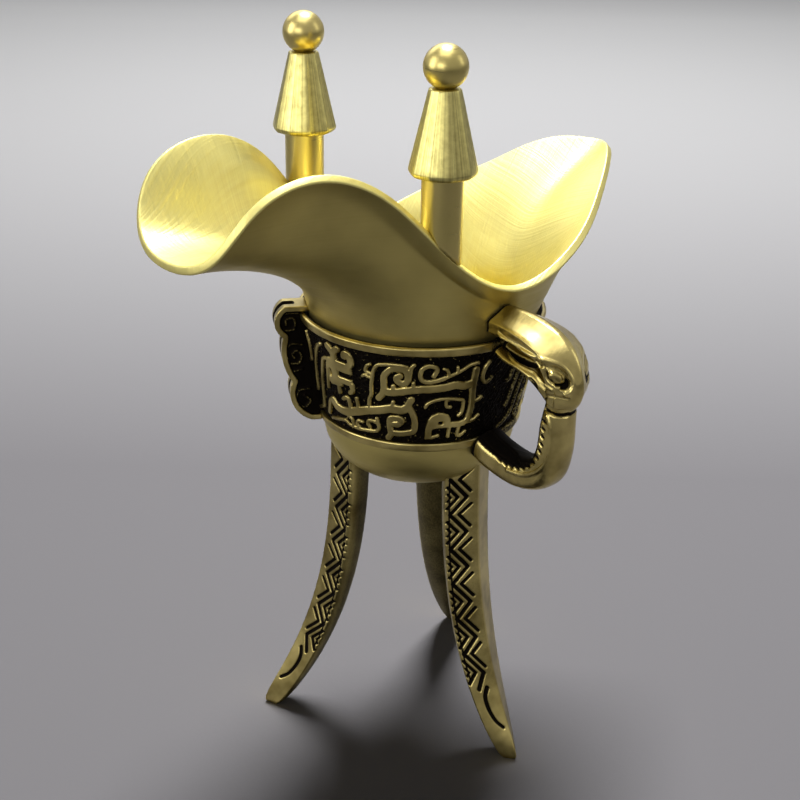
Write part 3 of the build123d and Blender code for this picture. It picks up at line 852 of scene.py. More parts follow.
# Heights of the chevrons' points
LEG_PEAKS = [47.6, 41, 34.4, 27.8, 21.3, 14.9]
# One repeat of the chevrons, (width in mm, [(share from the side edge to the ridge, mm up)])
LEG_REPEAT = [
    (0.62, [(0.12, 3.35), (0.64, 0)]),
    (0.62, [(0.64, 0), (0.12, -3.25)]),
    (0.52, [(0.04, 2.0), (0.36, 0)]),
    (0.52, [(0.36, 0), (0.04, -2.0)]),
    (0.36, [(0.04, 0.7), (0.14, 0)]),
    (0.36, [(0.14, 0), (0.04, -0.7)]),
    (0.54, [(0.4, 3.35), (0.78, 5.3)]),
    (0.54, [(0.4, 3.35), (0.75, 1.15)]),
]
# The crescent over the foot, (share from the side edge to the ridge, height in mm)
LEG_CRESCENT = [(0.62, 12.3), (0.46, 10.8), (0.42, 9.2), (0.46, 7.7), (0.56, 6.5), (0.74, 5.7)]
CRESCENT_WIDTH, GROOVE_SOFTNESS = 0.64, 0.12
FACE_POINTS, PLAIN_POINTS, BACK_POINTS, LEG_ROWS = 50, 12, 22, 520


def dome_height(radius):
    """Height of the base's underside."""
    share = np.clip(radius / BASE_RADIUS, 0, 0.999)
    return BAND_BOTTOM - BASE_DEPTH * (1 - share**BASE_ROUNDNESS) ** (1 / BASE_ROUNDNESS)


def leg_section(height):
    """Edge radius, half width, ridge height and back depth of a leg at a height."""
    # level runs from 0 at the root to 1 at the foot, which is blunt
    level = np.clip(1 - height / LEG_TOP, 0, 1)
    edge = LEG_ROOT + (FOOT_CIRCLE - LEG_ROOT) * level**3
    half_width = 1 + 3.9 * np.sqrt(1 - level**3)
    tip = np.sqrt(1 - level**12)
    blunt = level**12
    ridge = 2.7 * (1 + 0.33 * level**2) * tip + blunt
    back = 4.2 * (1 - 0.5 * level**2) * tip + blunt
    return edge, half_width, ridge, back


def leg_face_width(height):
    """Width of the cut face, from the leg's side edge to its ridge."""
    _, half_width, ridge, _ = leg_section(height)
    return np.hypot(half_width, ridge)


def leg_outline(shares, heights):
    """Reach and side of points round a leg: cut face 0 to 1, plain face 1 to 2, round back 2 to 3."""
    edge, half_width, ridge, back = leg_section(heights)
    crown = 1 - np.abs(shares - 1)
    # the ridge is rounded off a little
    crown = np.where(crown > 0.93, 0.965 - (1 - crown) ** 2 / 0.14, crown)
    reach = edge + ridge * np.clip(crown, 0, 1)
    side = half_width * (np.clip(shares, 0, 2) - 1)
    # the round back is an arc through both edges
    radius = (half_width**2 + back**2) / (2 * back)
    open_angle = np.where(back > half_width, pi - np.arctan2(half_width, radius - back),
                          np.arcsin(np.clip(half_width / radius, -1, 1)))
    lean = open_angle * (1 - 2 * np.clip(shares - 2, 0, 1))
    on_back = shares >= 2
    return (np.where(on_back, edge - back + radius - radius * np.cos(lean), reach),
            np.where(on_back, radius * np.sin(lean), side))


def leg_cut(shares, heights):
    """How far each point of a leg's cut face lies in a groove: 1 at its bottom, 0 beside it."""
    lines = []
    for peak in LEG_PEAKS:
        for width, corners in LEG_REPEAT:
            if peak == LEG_PEAKS[-1] and corners[-1][1] < -2.6:
                # the lowest chevron ends above the crescent
                corners = [corners[0], (0.3, -3.0)]
            lines.append((width, [(share * leg_face_width(peak), peak + up) for share, up in corners]))
    crescent = [(share * leg_face_width(height), height) for share, height in LEG_CRESCENT]
    lines.append((CRESCENT_WIDTH, rounded_line(crescent)))
    on_face = shares < 1
    from_edge = shares * leg_face_width(heights)
    cut = np.zeros(heights.shape)
    for width, line in lines:
        line = np.array(line)
        near = on_face & (heights > line[:, 1].min() - 1) & (heights < line[:, 1].max() + 1)
        away = line_distance(np.stack([from_edge[near], heights[near]], axis=1), line)
        depth = smooth_step((width / 2 + GROOVE_SOFTNESS - away) / (2 * GROOVE_SOFTNESS))
        cut[near] = np.maximum(cut[near], depth)
    # a fine, shallower line follows the side edge
    inset, half_line = 0.55, 0.13
    edge_line = smooth_step((half_line + 0.1 - np.abs(from_edge - inset)) / 0.2)
    return np.maximum(cut, 0.8 * edge_line * (on_face & (heights > 13)))


def make_leg(sizes, name):
    """A leg along +X: ridge outside, round back inside, chevrons cut into its -Y face."""
    shares = np.concatenate([side + np.linspace(0, 1, count, endpoint=False)
                             for side, count in enumerate((FACE_POINTS, PLAIN_POINTS, BACK_POINTS))])
    # the leg's top follows the base's underside, found by a few rounds, and ends 0.6 mm within it
    first_guess, rounds, sunk = 52.0, 12, 0.6
    tops = np.full(len(shares), first_guess)
    for _ in range(rounds):
        reach, side = leg_outline(shares, tops)
        tops = 0.5 * tops + 0.5 * (dome_height(np.hypot(reach, side)) + sunk)
    heights = tops * np.linspace(1, 0, LEG_ROWS)[:, None]
    shares = np.broadcast_to(shares, heights.shape)
    reach, side = leg_outline(shares, heights)
    rings = np.stack([reach, side, heights], axis=2)
    _, half_width, ridge, _ = leg_section(heights)
    inward = unit(np.stack([-half_width, ridge, np.zeros_like(ridge)], axis=2))
    cut = leg_cut(shares, heights)
    rings += inward * (cut * sizes.groove_depth / MM)[:, :, None]
    # the round back, turned in under the cup, is painted dark as shade, and the cut face is made a
    # little darker
    around = np.clip(shares - 2, 0, 1)
    back = 0.4 * smooth_step(np.minimum(around, 1 - around) / 0.2)
    face = 0.15 * smooth_step((heights - 11) / 4) * (shares < 1)
    return loft(name, rings[::-1], recess=np.maximum.reduce([cut, face, back])[::-1])


# Registered parts of the add-on


class JueSizes(bpy.types.PropertyGroup):
    """Sizes of the fine forms"""
    stroke_share: FloatProperty(
        name="Stroke Width", description="Width of the relief's strokes as a share of the drawn one",
        default=1.35, min=0.5, max=2, subtype="FACTOR")
    relief_height: FloatProperty(
        name="Relief Height", description="Height of the relief's strokes above their ground",
        default=0.7 * MM, min=0.2 * MM, max=0.7 * MM, unit="LENGTH", precision=5)
    groove_depth: FloatProperty(
        name="Groove Depth", description="Depth of the chevrons cut into the legs",
        default=0.32 * MM, min=0.05 * MM, max=0.6 * MM, unit="LENGTH", precision=5)
    lip_radius: FloatProperty(
        name="Lip Radius", description="Radius of the two edges of the rim",
        default=0.32 * MM, min=0.05 * MM, max=0.6 * MM, unit="LENGTH", precision=5)
    cap_edge: FloatProperty(
        name="Cap Edge", description="Radius of the lower edge of the caps",
        default=0.8 * MM, min=0.1 * MM, max=1.2 * MM, unit="LENGTH", precision=5)
    cap_facets: IntProperty(
        name="Cap Facets", description="Number of facets round each cap", default=10, min=6, max=24)


class JueFinishes(bpy.types.PropertyGroup):
    """Colours of the metal, the floor and the room"""
    olive_brass: FloatVectorProperty(
        name="Olive Brass", description="Toned brass of the body", subtype="COLOR",
        default=linear("#CDBD73"), min=0, max=1)
    dark_brass: FloatVectorProperty(
        name="Dark Brass", description="Darker clouds in the toned brass", subtype="COLOR",
        default=linear("#8A7A45"), min=0, max=1)
    gold_brass: FloatVectorProperty(
        name="Gold Brass", description="Brass rubbed back to gold", subtype="COLOR",
        default=linear("#D2C07A"), min=0, max=1)
    bright_brass: FloatVectorProperty(
        name="Bright Brass", description="Brass brushed bright inside the cup", subtype="COLOR",
        default=linear("#EBE08C"), min=0, max=1)
    # this black tone also paints shade beside the handle, on the legs' backs and at the loop's root
    patina_and_shade: FloatVectorProperty(
        name="Patina", description="Black tone in the recesses", subtype="COLOR",
        default=linear("#17130F"), min=0, max=1)
    near_floor: FloatVectorProperty(
        name="Near Floor", description="Plain floor round the cup", subtype="COLOR",
        default=linear("#8B898C"), min=0, max=1)
    # the far floor's paler colour is painted light
    far_floor_painted_light: FloatVectorProperty(
        name="Far Floor", description="Plain floor far behind the cup", subtype="COLOR",
        default=linear("#FFFFFF"), min=0, max=1)
    room: FloatVectorProperty(
        name="Room", description="Grey room that the metal mirrors", subtype="COLOR",
        default=linear("#A6A5A8"), min=0, max=1)


class JUE_OT_cup(bpy.types.Operator):
    """Model the thin-walled cup with its spout and tail"""
    bl_idname = "jue.cup"
    bl_label = "Cup"

    def execute(self, context):
        sizes, finishes = context.scene.jue_sizes, context.scene.jue_finishes
        rings, inside_start = cup_rings(CUP_COLUMNS, CUP_ROWS, sizes.lip_radius / MM)
        inside = np.zeros(rings.shape[:2])
        inside[inside_start:] = 1
        cup = loft("cup_wall", rings, inside=inside)
        finish_piece(cup, satin_antique_brass(finishes), "cup_brass", "cup")
        cup.data.materials.append(brushed_bright_brass(finishes))
        shares = read_values(cup, "inside")
        for face in cup.data.polygons:
            face.material_index = int(min(shares[corner] for corner in face.vertices) > 0.5)
        return {"FINISHED"}


class JUE_OT_relief(bpy.types.Operator):
    """Model the band: its two rings and three panels of relief"""
    bl_idname = "jue.relief"
    bl_label = "Relief Band"

    def execute(self, context):
        sizes, finishes = context.scene.jue_sizes, context.scene.jue_finishes
        brass = cast_patina_and_shade_brass("cast relief brass", finishes, edges=(0.35, 0.62), roughness=0.3)
        sleeve = turn_up("band_rings", band_rings_profile(), sides=180)
        places = vertex_places(sleeve.data)
        depth = band_radius(places[:, 2]) - np.hypot(places[:, 0], places[:, 1])
        # the rings are rubbed bright, and what lies deeper than they do stays black
        set_values(sleeve, "recess", smooth_step((depth - 0.75) / 0.25))
        # painted shade on the rings beside the handle
        paint_handle_shade(sleeve)
        finish_piece(sleeve, brass, "relief_brass", "relief_band")
        pattern = relief_panel(sizes, "relief_blank")
        for number in range(3):
            panel = turned_copy(pattern, f"relief_panel_{number + 1}", number * PANEL_TURN)
            # painted shade on the panel beside the handle
            paint_handle_shade(panel)
            finish_piece(panel, brass, "relief_brass")
        bpy.data.objects.remove(pattern)
        return {"FINISHED"}


class JUE_OT_legs(bpy.types.Operator):
    """Model the three legs with their chevrons"""
    bl_idname = "jue.legs"
    bl_label = "Legs"

    def execute(self, context):
        sizes, finishes = context.scene.jue_sizes, context.scene.jue_finishes
        brass = cast_patina_and_shade_brass("incised leg brass", finishes, edges=(0.06, 0.5), roughness=0.28,
                                  grit=0.03)
        pattern = make_leg(sizes, "leg_blank")
        # the leg on the spout's side is the other hand, as the photograph shows it
        for name, angle, mirrored in (("leg_handle_side", 270, False), ("leg_spout_side", 150, True),
                                      ("leg_tail_side", 30, False)):
            leg = turned_copy(pattern, name + "_cut", angle, mirrored)
            finish_piece(leg, brass, "leg_brass", name)
        bpy.data.objects.remove(pattern)
        return {"FINISHED"}


class JUE_OT_base(bpy.types.Operator):
    """Finish the domed base"""
    bl_idname = "jue.base"
    bl_label = "Base"

    def execute(self, context):
        finishes = context.scene.jue_finishes
        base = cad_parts["base"]
        base.data.materials.clear()
        base.data.materials.append(satin_antique_brass(finishes))
        return {"FINISHED"}


class JUE_OT_posts(bpy.types.Operator):
    """Set the posts into the wall and model their caps and balls"""
    bl_idname = "jue.posts"
    bl_label = "Posts, Caps and Balls"

    def execute(self, context):
        sizes, finishes = context.scene.jue_sizes, context.scene.jue_finishes
        polished = polished_brass(finishes)
        brushed = brushed_cap_brass(finishes)
        for name, side in (("front", -1), ("back", 1)):
            centre = (-POST_OFFSET, side * POST_SPREAD)
            post = solid_copy("post_" + name, "round_post_" + name, voxel=0.2, rounds=3)
            self.sink_foot(post)
            finish_piece(post, polished, "post_brass", "post_" + name)
            cap = self.make_cap(sizes, "faceted_cap_" + name, centre)
            finish_piece(cap, brushed, "cap_brass", "cap_" + name)
            ball = self.make_ball("polished_ball_" + name, centre)
            finish_piece(ball, polished, "ball_brass", "ball_" + name)
        return {"FINISHED"}

    def sink_foot(self, post):
        """Draw the post's outer side into the wall below the rim, where they run together."""
        cup = bpy.data.objects["cup_wall"]
        rim = rim_line(count=720)
        sunk = 0.2
        places = vertex_places(post.data)
        for index, place in enumerate(places):
            nearest = rim[np.argmin(np.hypot(*(rim[:, :2] - place[:2]).T))]
            # it starts 0.6 mm over the rim and is whole 0.8 mm below it
            share = smooth_step((nearest[2] + 0.6 - place[2]) / 1.4)
            if share == 0:
                continue
            found, spot, normal, _ = cup.closest_point_on_mesh(place * MM)
            spot = np.array(spot) / MM
            normal = np.array(normal)
            outside = normal[1] * place[1] > 0 and (place - spot) @ normal > -sunk
            if found and outside:
                places[index] = place + share * (spot - sunk * normal - place)
        place_vertices(post.data, places)

    def make_cap(self, sizes, name, centre):
        """A cone with soft facets, a rounded lower edge and a small round at its top."""
        top = CAP_BOTTOM + CAP_HEIGHT
        low, high = sizes.cap_edge / MM, 0.4
        slope = atan((CAP_RADIUS - CAP_NECK) / CAP_HEIGHT)
        # the rounded lower edge stands a little within the full radius
        inset = 0.15
        lower = arc((CAP_RADIUS - inset - low, CAP_BOTTOM + low), low, -pi / 2, slope, 9)
        upper = arc((CAP_NECK - high, top - high), high, slope, pi / 2, 6)
        cone = np.linspace(lower[-1], upper[0], 16)
        profile = [(POST_SOCKET, CAP_BOTTOM), *lower, *cone[1:-1], *upper, (STUD_SOCKET, top)]
        turns = np.radians(np.arange(0, 360, 2))
        step = 2 * pi / sizes.cap_facets
        # the facets are a little less deep than flat ones, so that their corners stay soft
        flat = cos(step / 2) / np.cos((turns + step / 4) % step - step / 2)
        depth_share = 0.65
        faceted = 1 - depth_share * (1 - flat)
        rings = np.array([level_ring(radius * faceted, height, turns, centre)
                          for radius, height in profile])
        # places along the lower edge, from which the brush lines run straight up
        out_x, out_y = CAP_RADIUS * MM * np.cos(turns), CAP_RADIUS * MM * np.sin(turns)
        every_ring = np.ones((len(rings), 1))
        return loft(name, rings, brush_x=every_ring * out_x, brush_y=every_ring * out_y)

    def make_ball(self, name, centre):
        """A ball sunk a little into the cap's top, on its hidden stud."""
        top = CAP_BOTTOM + CAP_HEIGHT
        middle = top + BALL_RADIUS - BALL_SINK
        profile = [(STUD_RADIUS, top - STUD_DEPTH), (STUD_RADIUS, top - 0.2)]
        profile += arc((0, middle), BALL_RADIUS, radians(-68), radians(89.5), 40)
        return turn_up(name, profile, 72, centre)


class JUE_OT_ridges(bpy.types.Operator):
    """Carve the two scrolled ridges"""
    bl_idname = "jue.ridges"
    bl_label = "Ridges"

    # Scrolls on the lobes of a ridge, (width in mm, [(mm from the axis, height)])
    SCROLLS = [
        (0.45, [(21.2, 77.9), (24, 77.6), (24.1, 75.2), (21.9, 75), (21.9, 76.9), (23.2, 76.8),
                (23.2, 75.9)]),
        (0.45, [(20.6, 72.2), (22.4, 72.4), (23.4, 71), (22.9, 69.2), (21.2, 68.9), (20.7, 70.2),
                (21.4, 71.2), (22.2, 70.6), (21.9, 69.9)]),
        (0.45, [(20.6, 67.8), (22.2, 67.4)]),
        (0.45, [(19.4, 64.2), (21.2, 63.8), (21.6, 61.9), (20.2, 60.8), (19.2, 62), (20.2, 62.9)]),
    ]
    SCROLL_HEIGHT, GROOVE_DEPTH, GROOVE_HALF_WIDTH = 0.32, 0.5, 0.75

    def execute(self, context):
        finishes = context.scene.jue_finishes
        brass = cast_patina_and_shade_brass("cast ridge brass", finishes, edges=(0.3, 0.6), roughness=0.3)
        for name, angle in (("ridge_spout_side", 150), ("ridge_tail_side", 30)):
            ridge = solid_copy(name, name + "_carved", voxel=0.13, rounds=3)
            self.carve(ridge, angle)
            finish_piece(ridge, brass, "ridge_brass", name)
        return {"FINISHED"}

    def carve(self, ridge, angle):
        """Cut a groove along the outer edge and raise a scroll on each lobe of both faces."""
        places = vertex_places(ridge.data)
        normals = vertex_normals(ridge.data)
        turn = radians(angle)
        out = places[:, 0] * cos(turn) + places[:, 1] * sin(turn)
        side = np.abs(places[:, 1] * cos(turn) - places[:, 0] * sin(turn))
        across = np.abs(normals[:, 1] * cos(turn) - normals[:, 0] * sin(turn))
        flat = np.stack([out, places[:, 2]], axis=1)
        # the scrolls and the black lie on the two faces, within their raised borders
        face = smooth_step((across - 0.6) / 0.3) * smooth_step((2.0 - side) / 0.15)
        lift = np.max([stroke_share(flat, scroll, 0.14) for scroll in self.SCROLLS], axis=0) * face
        groove = smooth_step((self.GROOVE_HALF_WIDTH - side) / 0.35) * smooth_step((0.5 - across) / 0.3)
        # the groove starts 0.4 mm off the band
        groove *= smooth_step((out - band_radius(places[:, 2]) - 0.4) / 0.4)
        moved = normals * (self.SCROLL_HEIGHT * lift - self.GROOVE_DEPTH * groove)[:, None]
        place_vertices(ridge.data, places + moved)
        dark = smooth_step(relaxed(ridge.data, np.maximum(groove, face), rounds=12) / 0.32)
        set_values(ridge, "recess", np.clip(dark * (1 - 0.45 * lift), 0, 1))


class JUE_OT_handle(bpy.types.Operator):
    """Carve the crest, the beast's head and the loop"""
    bl_idname = "jue.handle"
    bl_label = "Handle"

    def execute(self, context):
        finishes = context.scene.jue_finishes
        handle = self.make_body()
        self.carve(handle)
        brass = cast_patina_and_shade_brass("cast handle brass", finishes, edges=(0.3, 0.62), roughness=0.26)
        finish_piece(handle, brass, "handle_brass", "handle")
        return {"FINISHED"}

    # Sizes in mm: in front of the axis, height, half width, then how far the ridge line and the
    # side's upper edge stand over the line, and how far its lower edge and the keel hang below
    CREST = [(18.6, 80, 3.3, 3.4, 1.5, 0.6, 1.6), (24, 80.6, 4.2, 3.1, 1.3, 0.75, 1.8),
             (29.5, 80.1, 4.6, 2.95, 1.05, 0.85, 2), (32.8, 78.5, 4.4, 2.8, 0.7, 1.1, 2.6),
             (34.9, 75.4, 3.9, 2.3, 0.3, 1.8, 3.6), (34.9, 73.3, 3.7, 2.2, 0.2, 1.9, 3.7),
             (34.3, 71.4, 3.2, 1.7, 0.1, 1.6, 3.2)]
    # In front of the axis, height, half width, half depth
    JAW = [(19, 77, 2.6, 1.2), (23, 75.9, 3.2, 1), (27, 75.6, 3.5, 1), (30.5, 74.6, 3.6, 1.6),
           (33.2, 72.7, 3.2, 2.1)]
    LOOP = [(33.4, 73, 2.4, 1.7), (32.8, 67.5, 2.9, 2.2), (32.4, 62.5, 3, 2.4), (30.6, 58.5, 3.1, 2.7),
            (26, 56.8, 3.2, 2.7), (20.5, 57.3, 3.2, 2.7), (17, 58.4, 3.2, 2.7)]

    def make_body(self):
        """Crest, jaw and loop, lofted along their lines and run together as one casting."""
        # share of the half width, then of the heights of ridge, edge, lower edge and keel
        crest = [(0, 1, 0, 0, 0), (0.12, 0.97, 0.03, 0, 0), (0.5, 0.5, 0.5, 0, 0),
                 (0.9, 0.05, 0.95, 0, 0), (1, 0, 0.8, 0, 0), (0.96, 0, 0, 0, 0),
                 (0.99, 0, 0, 0.75, 0), (0.97, 0, 0, 1, 0), (0.85, 0, 0, 1.2, 0),
                 (0.5, 0, 0, 0.5, 0.5), (0, 0, 0, 0, 1)]
        crest += [(-across, *rest) for across, *rest in crest[-2:0:-1]]
        # the jaw's section is round, and the loop's is squared a little
        turns = np.radians(np.arange(0, 360, 7.5))
        round_share = np.stack([np.sin(turns), np.cos(turns)], axis=1)
        square = np.sign(round_share) * np.abs(round_share) ** 0.75
        parts = []
        for name, line in (("crest", self.CREST), ("jaw", self.JAW), ("loop", self.LOOP)):
            spine = rounded_line(line, 8)
            along = unit(np.gradient(spine[:, :2], axis=0))
            rings = []
            for (out, height, width, *depths), (run, rise) in zip(spine, along):
                if name == "crest":
                    # the lower edge and the keel hang below the line
                    lifts = depths * np.array([1, 1, -1, -1])
                    across = np.array([width * part[0] for part in crest])
                    up = np.array([np.dot(part[1:], lifts) for part in crest])
                else:
                    across, up = (square if name == "loop" else round_share).T * [[width], [depths[0]]]
                rings.append(np.stack([across, -out + up * rise, height + up * run], axis=1))
            parts.append(loft("handle_" + name, np.array(rings)))
        for part in parts:
            part.select_set(True)
        bpy.context.view_layer.objects.active = parts[0]
        bpy.ops.object.join()
        handle = even_skin(bpy.context.object, voxel=0.15, rounds=2)
        handle.name = handle.data.name = "beast_head_handle"
        # the root ends within the thickness of the wall
        places = vertex_places(handle.data)
        reach = np.hypot(places[:, 0], places[:, 1])
        places[:, :2] *= np.maximum(1, (self.wall_radius(places[:, 2]) - 0.7) / reach)[:, None]
        place_vertices(handle.data, places)
        return handle

    def wall_radius(self, heights):
        """Outer radius of the band and of the wall over it, on the handle's side."""
        # the handle stands a quarter of the way round from the spout
        outer = wall_rings(360, np.linspace(0, 1, 60))[:, 90]
        above = np.interp(heights, outer[:, 2], np.hypot(outer[:, 0], outer[:, 1]))
        return np.where(heights < BAND_TOP, band_radius(heights), above)

    # Carving of the head as the camera sees it, carried along its lines of sight to a plane on the
    # spout's side: (lift in mm, width in mm, [(mm in front of the axis, height)])
    CARVING_PLANE, FAR_SIDE_SHARE = -3.9, 0.15
    CARVING = [
        # the first outline, over the seeds at the loop's root, is sunk a little and painted black there
        # as shade
        (-0.4, 0, [(16, 63.5), (21, 60.4), (24, 59.6), (27, 59.4), (29, 60), (28, 61.5), (20, 65),
                   (16, 66)]),
        (-1.1, 0, [(24.8, 78.4), (26, 77.7), (27.5, 77.2), (29.5, 77.2), (31.3, 77.5), (32.2, 77.9),
                   (30.5, 78.1), (27.5, 78.2)]),
        (-0.5, 0.45, [(22.7, 79.5), (24.2, 78.75), (26.5, 78.3), (29, 78.15), (31.2, 78.15)]),
        (-0.3, 0.35, [(31.2, 78.15), (33.2, 78.3), (35, 78.6), (36.4, 78.55), (37.4, 78.1)]),
        (0.28, 0.55, [(22.6, 80.4), (23.8, 79.8), (25.5, 79.4), (28.5, 79.15), (31.5, 79.1), (34, 79.3),
                      (35.8, 79.45), (37.2, 79.15), (38.3, 78.4), (38.9, 77.5), (38.9, 76.7),
                      (38.5, 75.9), (37.8, 75.3), (37.3, 75)]),
        (0.22, 0.45, [(25, 78), (25.8, 77.3), (27.2, 76.8), (29, 76.6), (30.8, 76.6), (31.8, 76),
                      (33.3, 75.2), (34.8, 74.9)]),
        (0.3, 1.1, [(34.4, 77.3), (35.3, 77.45), (36.1, 77.35)]),
        (0.25, 0.6, [(34.4, 77.3), (35.3, 77.45), (36.1, 77.35)]),
        (-0.55, 0.4, [(33.2, 77.2), (33.6, 76.5), (34.6, 76.1), (35.8, 76.1), (36.9, 76.5)]),
        (-0.75, 0, [(37.3, 78), (38.1, 77.5), (38.2, 76.5), (37.4, 75.7), (36.4, 75.6), (36.6, 76.3),
                    (37.2, 77)]),
        (-0.3, 0.3, [(33.4, 73.6), (34.8, 73.9), (36.6, 74.3), (38.2, 74.6)]),
        (-0.7, 0.5, [(30.1, 75), (30.9, 74.6), (31.3, 74)]),
        (0.4, 0.6, [(29.2, 74.2), (30, 74), (30.8, 73.5), (31.5, 73.3)]),
        (-0.6, 0.5, [(32.2, 71.9), (34, 71.2), (36, 71.2), (38, 71.9), (39.5, 72.9)]),
        (0.25, 0.6, [(34, 70.3), (34.9, 68.2), (35.3, 66.2), (35.1, 64.4), (34.4, 62.6), (33.2, 60.9),
                     (31.4, 59.4), (29, 58.3), (26, 57.9)]),
    ]
    # Seeds, cut in a row along the inside of the loop
    SEED_STEP, SEED_WIDTH, SEED_DEPTH = 1.35, 0.5, 0.35
    SEED_LINE = [(33.5, 69.6), (33.4, 67.5), (33.3, 65.5), (32.9, 63.6), (32, 61.9), (30.6, 60.4),
                 (29, 59.4), (27, 58.9), (25, 58.9), (23.6, 59.3)]

    def seeds(self):
        """Strokes of the seeds, one short one at each step along their line."""
        line = rounded_line(self.SEED_LINE, 8)
        lengths = run_lengths(line)
        for mark in np.arange(0.5, lengths[-1], self.SEED_STEP):
            spot = [np.interp(mark, lengths, line[:, axis]) for axis in (0, 1)]
            yield self.SEED_WIDTH, [spot, [spot[0] - 0.35, spot[1] + 0.2]]

    def carve(self, handle):
        """Carve head and loop, and leave black what is cut or hollow, where it meets the wall and on
        the loop's inside, with painted shade at the loop's root.
        """
        places = vertex_places(handle.data)
        normals = vertex_normals(handle.data)
        # the far side takes the near side's carving, mirrored and shallower
        far_side = places[:, 0] > 0
        mirror = np.where(far_side[:, None], (-1, 1, 1), 1)
        near = places * mirror
        eye = np.array(CAMERA_PLACE)
        share = (self.CARVING_PLANE - eye[0]) / (near[:, 0] - eye[0])
        seen = eye + (near - eye) * share[:, None]
        flat = np.stack([-seen[:, 1], seen[:, 2]], axis=1)
        front = smooth_step((dots(normals * mirror, unit(eye - near)) - 0.02) / 0.3)
        lift = np.zeros(len(places))
        dark = np.zeros(len(places))
        for height, width, line in self.CARVING:
            part = stroke_share(flat, (width, line), softness=0.2) * front
            lift += height * part
            if height < 0:
                dark = np.maximum(dark, part * min(1, -height / 0.5))
        for seed in self.seeds():
            part = stroke_share(flat, seed, softness=0.15) * front
            lift -= self.SEED_DEPTH * part
            dark = np.maximum(dark, part)
        lift = relaxed(handle.data, np.where(far_side, self.FAR_SIDE_SHARE, 1) * lift, rounds=2)
        place_vertices(handle.data, places + normals * lift[:, None])
        hollow = hollow_share(handle.data, rounds=24, depth=0.35)
        # black too where the casting meets the wall
        reach = np.hypot(places[:, 0], places[:, 1])
        joint = smooth_step((self.wall_radius(places[:, 2]) + 0.75 - reach) / 0.5)
        # and on the inside of the loop, which faces the middle of the finger's gap
        inward = np.array([0, -27.5, 66.5]) - places
        inward[:, 0] = 0
        inner = smooth_step((dots(normals, unit(inward)) - 0.25) / 0.35)
        inner *= smooth_step((76 - places[:, 2]) / 3)
        dark = np.clip(np.maximum.reduce([dark, hollow, inner, joint]), 0, 1)
        set_values(handle, "recess", relaxed(handle.data, dark, rounds=2))


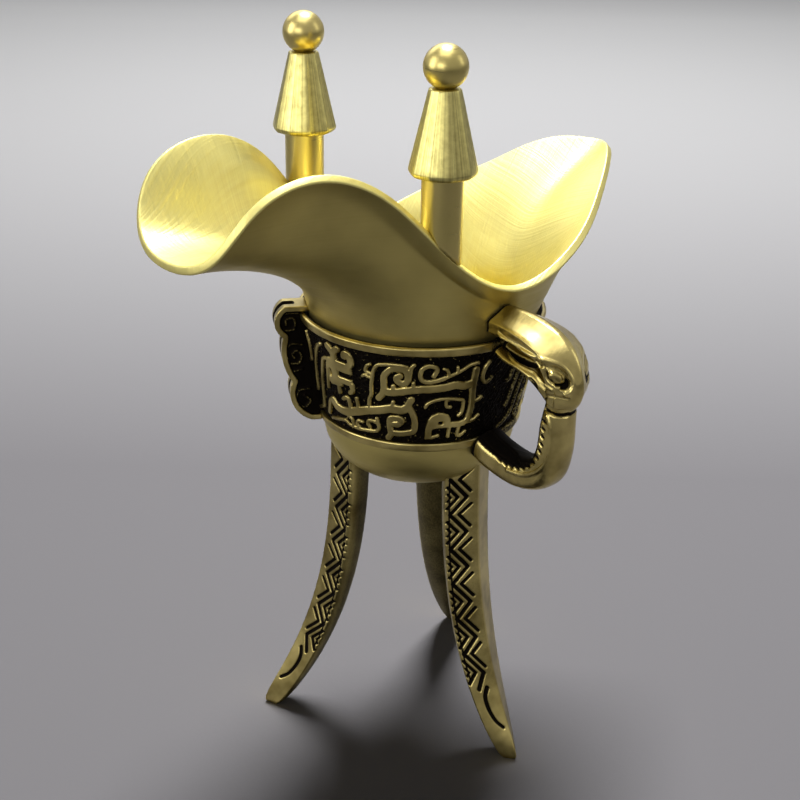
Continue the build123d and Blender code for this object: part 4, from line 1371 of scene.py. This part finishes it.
class JUE_OT_stage(bpy.types.Operator):
    """Set the floor, the lights and the camera"""
    bl_idname = "jue.stage"
    bl_label = "Stage"

    def execute(self, context):
        finishes = context.scene.jue_finishes
        self.add_floor(finishes)
        self.add_lights()
        self.add_room(finishes)
        self.add_camera(context.scene)
        return {"FINISHED"}

    def add_floor(self, finishes):
        """A plain floor, with painted light that makes it paler with the distance behind the cup."""
        deselect()
        bpy.ops.mesh.primitive_plane_add(size=6)
        floor = bpy.context.object
        floor.name = "floor"
        material = new_material("pale floor with painted light")
        cloth = mottle(material, 900, detail=5.0)
        inputs = {"Vector": surface_place(material), "Rotation": (0, 0, radians(-CAMERA_BEARING))}
        turned = add_node(material, "ShaderNodeMapping", inputs).outputs["Vector"]
        away = add_node(material, "ShaderNodeSeparateXYZ", {"Vector": turned}).outputs["X"]
        # painted light: the floor turns from its near colour to its far one between these places, in
        # metres from the cup towards the camera
        painted_light_from, painted_light_to = -0.09, -0.76
        far = spread(material, away, painted_light_from, painted_light_to)
        tone = mixed(material, far, (*finishes.near_floor, 1), (*finishes.far_floor_painted_light, 1))
        inputs = {"Base Color": tone, "Roughness": 0.8, "Specular IOR Level": 0.0,
                  "Normal": bump(material, cloth, depth=0.15, strength=0.15)}
        shader = add_node(material, "ShaderNodeBsdfPrincipled", inputs)
        add_node(material, "ShaderNodeOutputMaterial", {"Surface": shader.outputs["BSDF"]})
        floor.data.materials.append(material)
        floor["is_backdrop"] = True

    def add_lights(self):
        """Softboxes round the cup, of which only one lights the floor."""
        # (name, place in metres, aim in metres, width, height, watts)
        lamps = [
            ("key softbox", (0.21, 0.19, 0.75), (0, 0, 0.05), 0.24, 0.24, 7.4),
            ("top softbox", (-0.08, -0.05, 0.85), (0, 0, 0.1), 0.6, 0.6, 2.0),
            ("back softbox", (0.22, 0.52, 0.52), (0, 0, 0.08), 0.8, 0.4, 1.7),
            ("spout softbox", (-0.58, 0.26, 0.32), (0, 0, 0.1), 0.35, 0.5, 1.7),
            ("front softbox", (-0.72, -0.3, 0.3), (0, 0, 0.13), 0.5, 0.25, 1.2),
            ("handle softbox", (0.5, -0.42, 0.4), (0, 0, 0.07), 0.16, 0.4, 0.3),
        ]
        for name, place, aim, width, height, watts in lamps:
            bpy.ops.object.light_add(type="AREA", location=place)
            lamp = bpy.context.object
            lamp.name = name
            lamp.data.shape = "RECTANGLE"
            lamp.data.size, lamp.data.size_y = width, height
            lamp.data.energy = watts
            run = Vector(aim) - Vector(place)
            lamp.rotation_euler = run.to_track_quat("-Z", "Y").to_euler()
            # the others only shine in the metal, so that the floor keeps one deep shadow
            lamp.visible_diffuse = name == "key softbox"

    def add_room(self, finishes):
        """A grey room that the metal mirrors, dim for the floor, which keeps its deep shadow."""
        world = bpy.data.worlds.new("studio")
        world.use_nodes = True
        world.node_tree.nodes.clear()
        rays = add_node(world, "ShaderNodeLightPath").outputs
        seen = rays["Is Camera Ray"]
        for kind in ("Is Glossy Ray", "Is Transmission Ray"):
            seen = worked_out(world, "MAXIMUM", seen, rays[kind])
        strength = spread(world, seen, 0, 1, 0.18, 1.2)
        inputs = {"Color": (*finishes.room, 1), "Strength": strength}
        backdrop = add_node(world, "ShaderNodeBackground", inputs).outputs["Background"]
        add_node(world, "ShaderNodeOutputWorld", {"Surface": backdrop})
        bpy.context.scene.world = world

    def add_camera(self, scene):
        """The camera of the photograph."""
        bearing = radians(CAMERA_BEARING + 180 + CAMERA_YAW)
        pitch, roll = radians(CAMERA_PITCH), radians(CAMERA_ROLL)
        ahead = Vector((cos(bearing) * cos(pitch), sin(bearing) * cos(pitch), -sin(pitch)))
        level = ahead.cross(Vector((0, 0, 1))).normalized()
        upright = level.cross(ahead)
        right = level * cos(roll) + upright * sin(roll)
        up = upright * cos(roll) - level * sin(roll)
        bpy.ops.object.camera_add(location=Vector(CAMERA_PLACE) * MM)
        camera = bpy.context.object
        camera.rotation_euler = Matrix((right, up, -ahead)).transposed().to_euler()
        camera.data.sensor_width = SENSOR_WIDTH
        camera.data.lens = CAMERA_FOCAL_PIXELS / PHOTO_WIDTH_PIXELS * SENSOR_WIDTH
        camera.data.clip_start = 0.01
        scene.camera = camera
        scene.view_settings.view_transform = "Standard"


OPERATORS = (JUE_OT_stage, JUE_OT_cup, JUE_OT_relief, JUE_OT_base, JUE_OT_legs, JUE_OT_ridges,
             JUE_OT_handle, JUE_OT_posts)


class JUE_PT_panel(bpy.types.Panel):
    """List the sizes, the finishes and the pieces"""
    bl_idname = "JUE_PT_panel"
    bl_label = "Cast Brass Jue"
    bl_space_type = "VIEW_3D"
    bl_region_type = "UI"
    bl_category = "Jue"

    def draw(self, context):
        for group in (context.scene.jue_sizes, context.scene.jue_finishes):
            for name in group.__annotations__:
                self.layout.prop(group, name)
        for operator in OPERATORS:
            self.layout.operator(operator.bl_idname)


CLASSES = (JueSizes, JueFinishes, *OPERATORS, JUE_PT_panel)


def register():
    """Add the classes and their settings to Blender."""
    for item in CLASSES:
        bpy.utils.register_class(item)
    bpy.types.Scene.jue_sizes = PointerProperty(type=JueSizes)
    bpy.types.Scene.jue_finishes = PointerProperty(type=JueFinishes)


def unregister():
    """Take them out again."""
    del bpy.types.Scene.jue_finishes
    del bpy.types.Scene.jue_sizes
    for item in reversed(CLASSES):
        bpy.utils.unregister_class(item)


def main():
    """Model the whole vessel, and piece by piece."""
    register()
    bpy.ops.jue.stage()
    bpy.ops.jue.cup()
    bpy.ops.jue.relief()
    bpy.ops.jue.base()
    bpy.ops.jue.legs()
    bpy.ops.jue.ridges()
    bpy.ops.jue.handle()
    bpy.ops.jue.posts()
    boxes = {"cad": cad_box, "visual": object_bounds()}
    plain = {name: [list(corner) for corner in box] for name, box in boxes.items()}


if __name__ == "__main__":
    main()
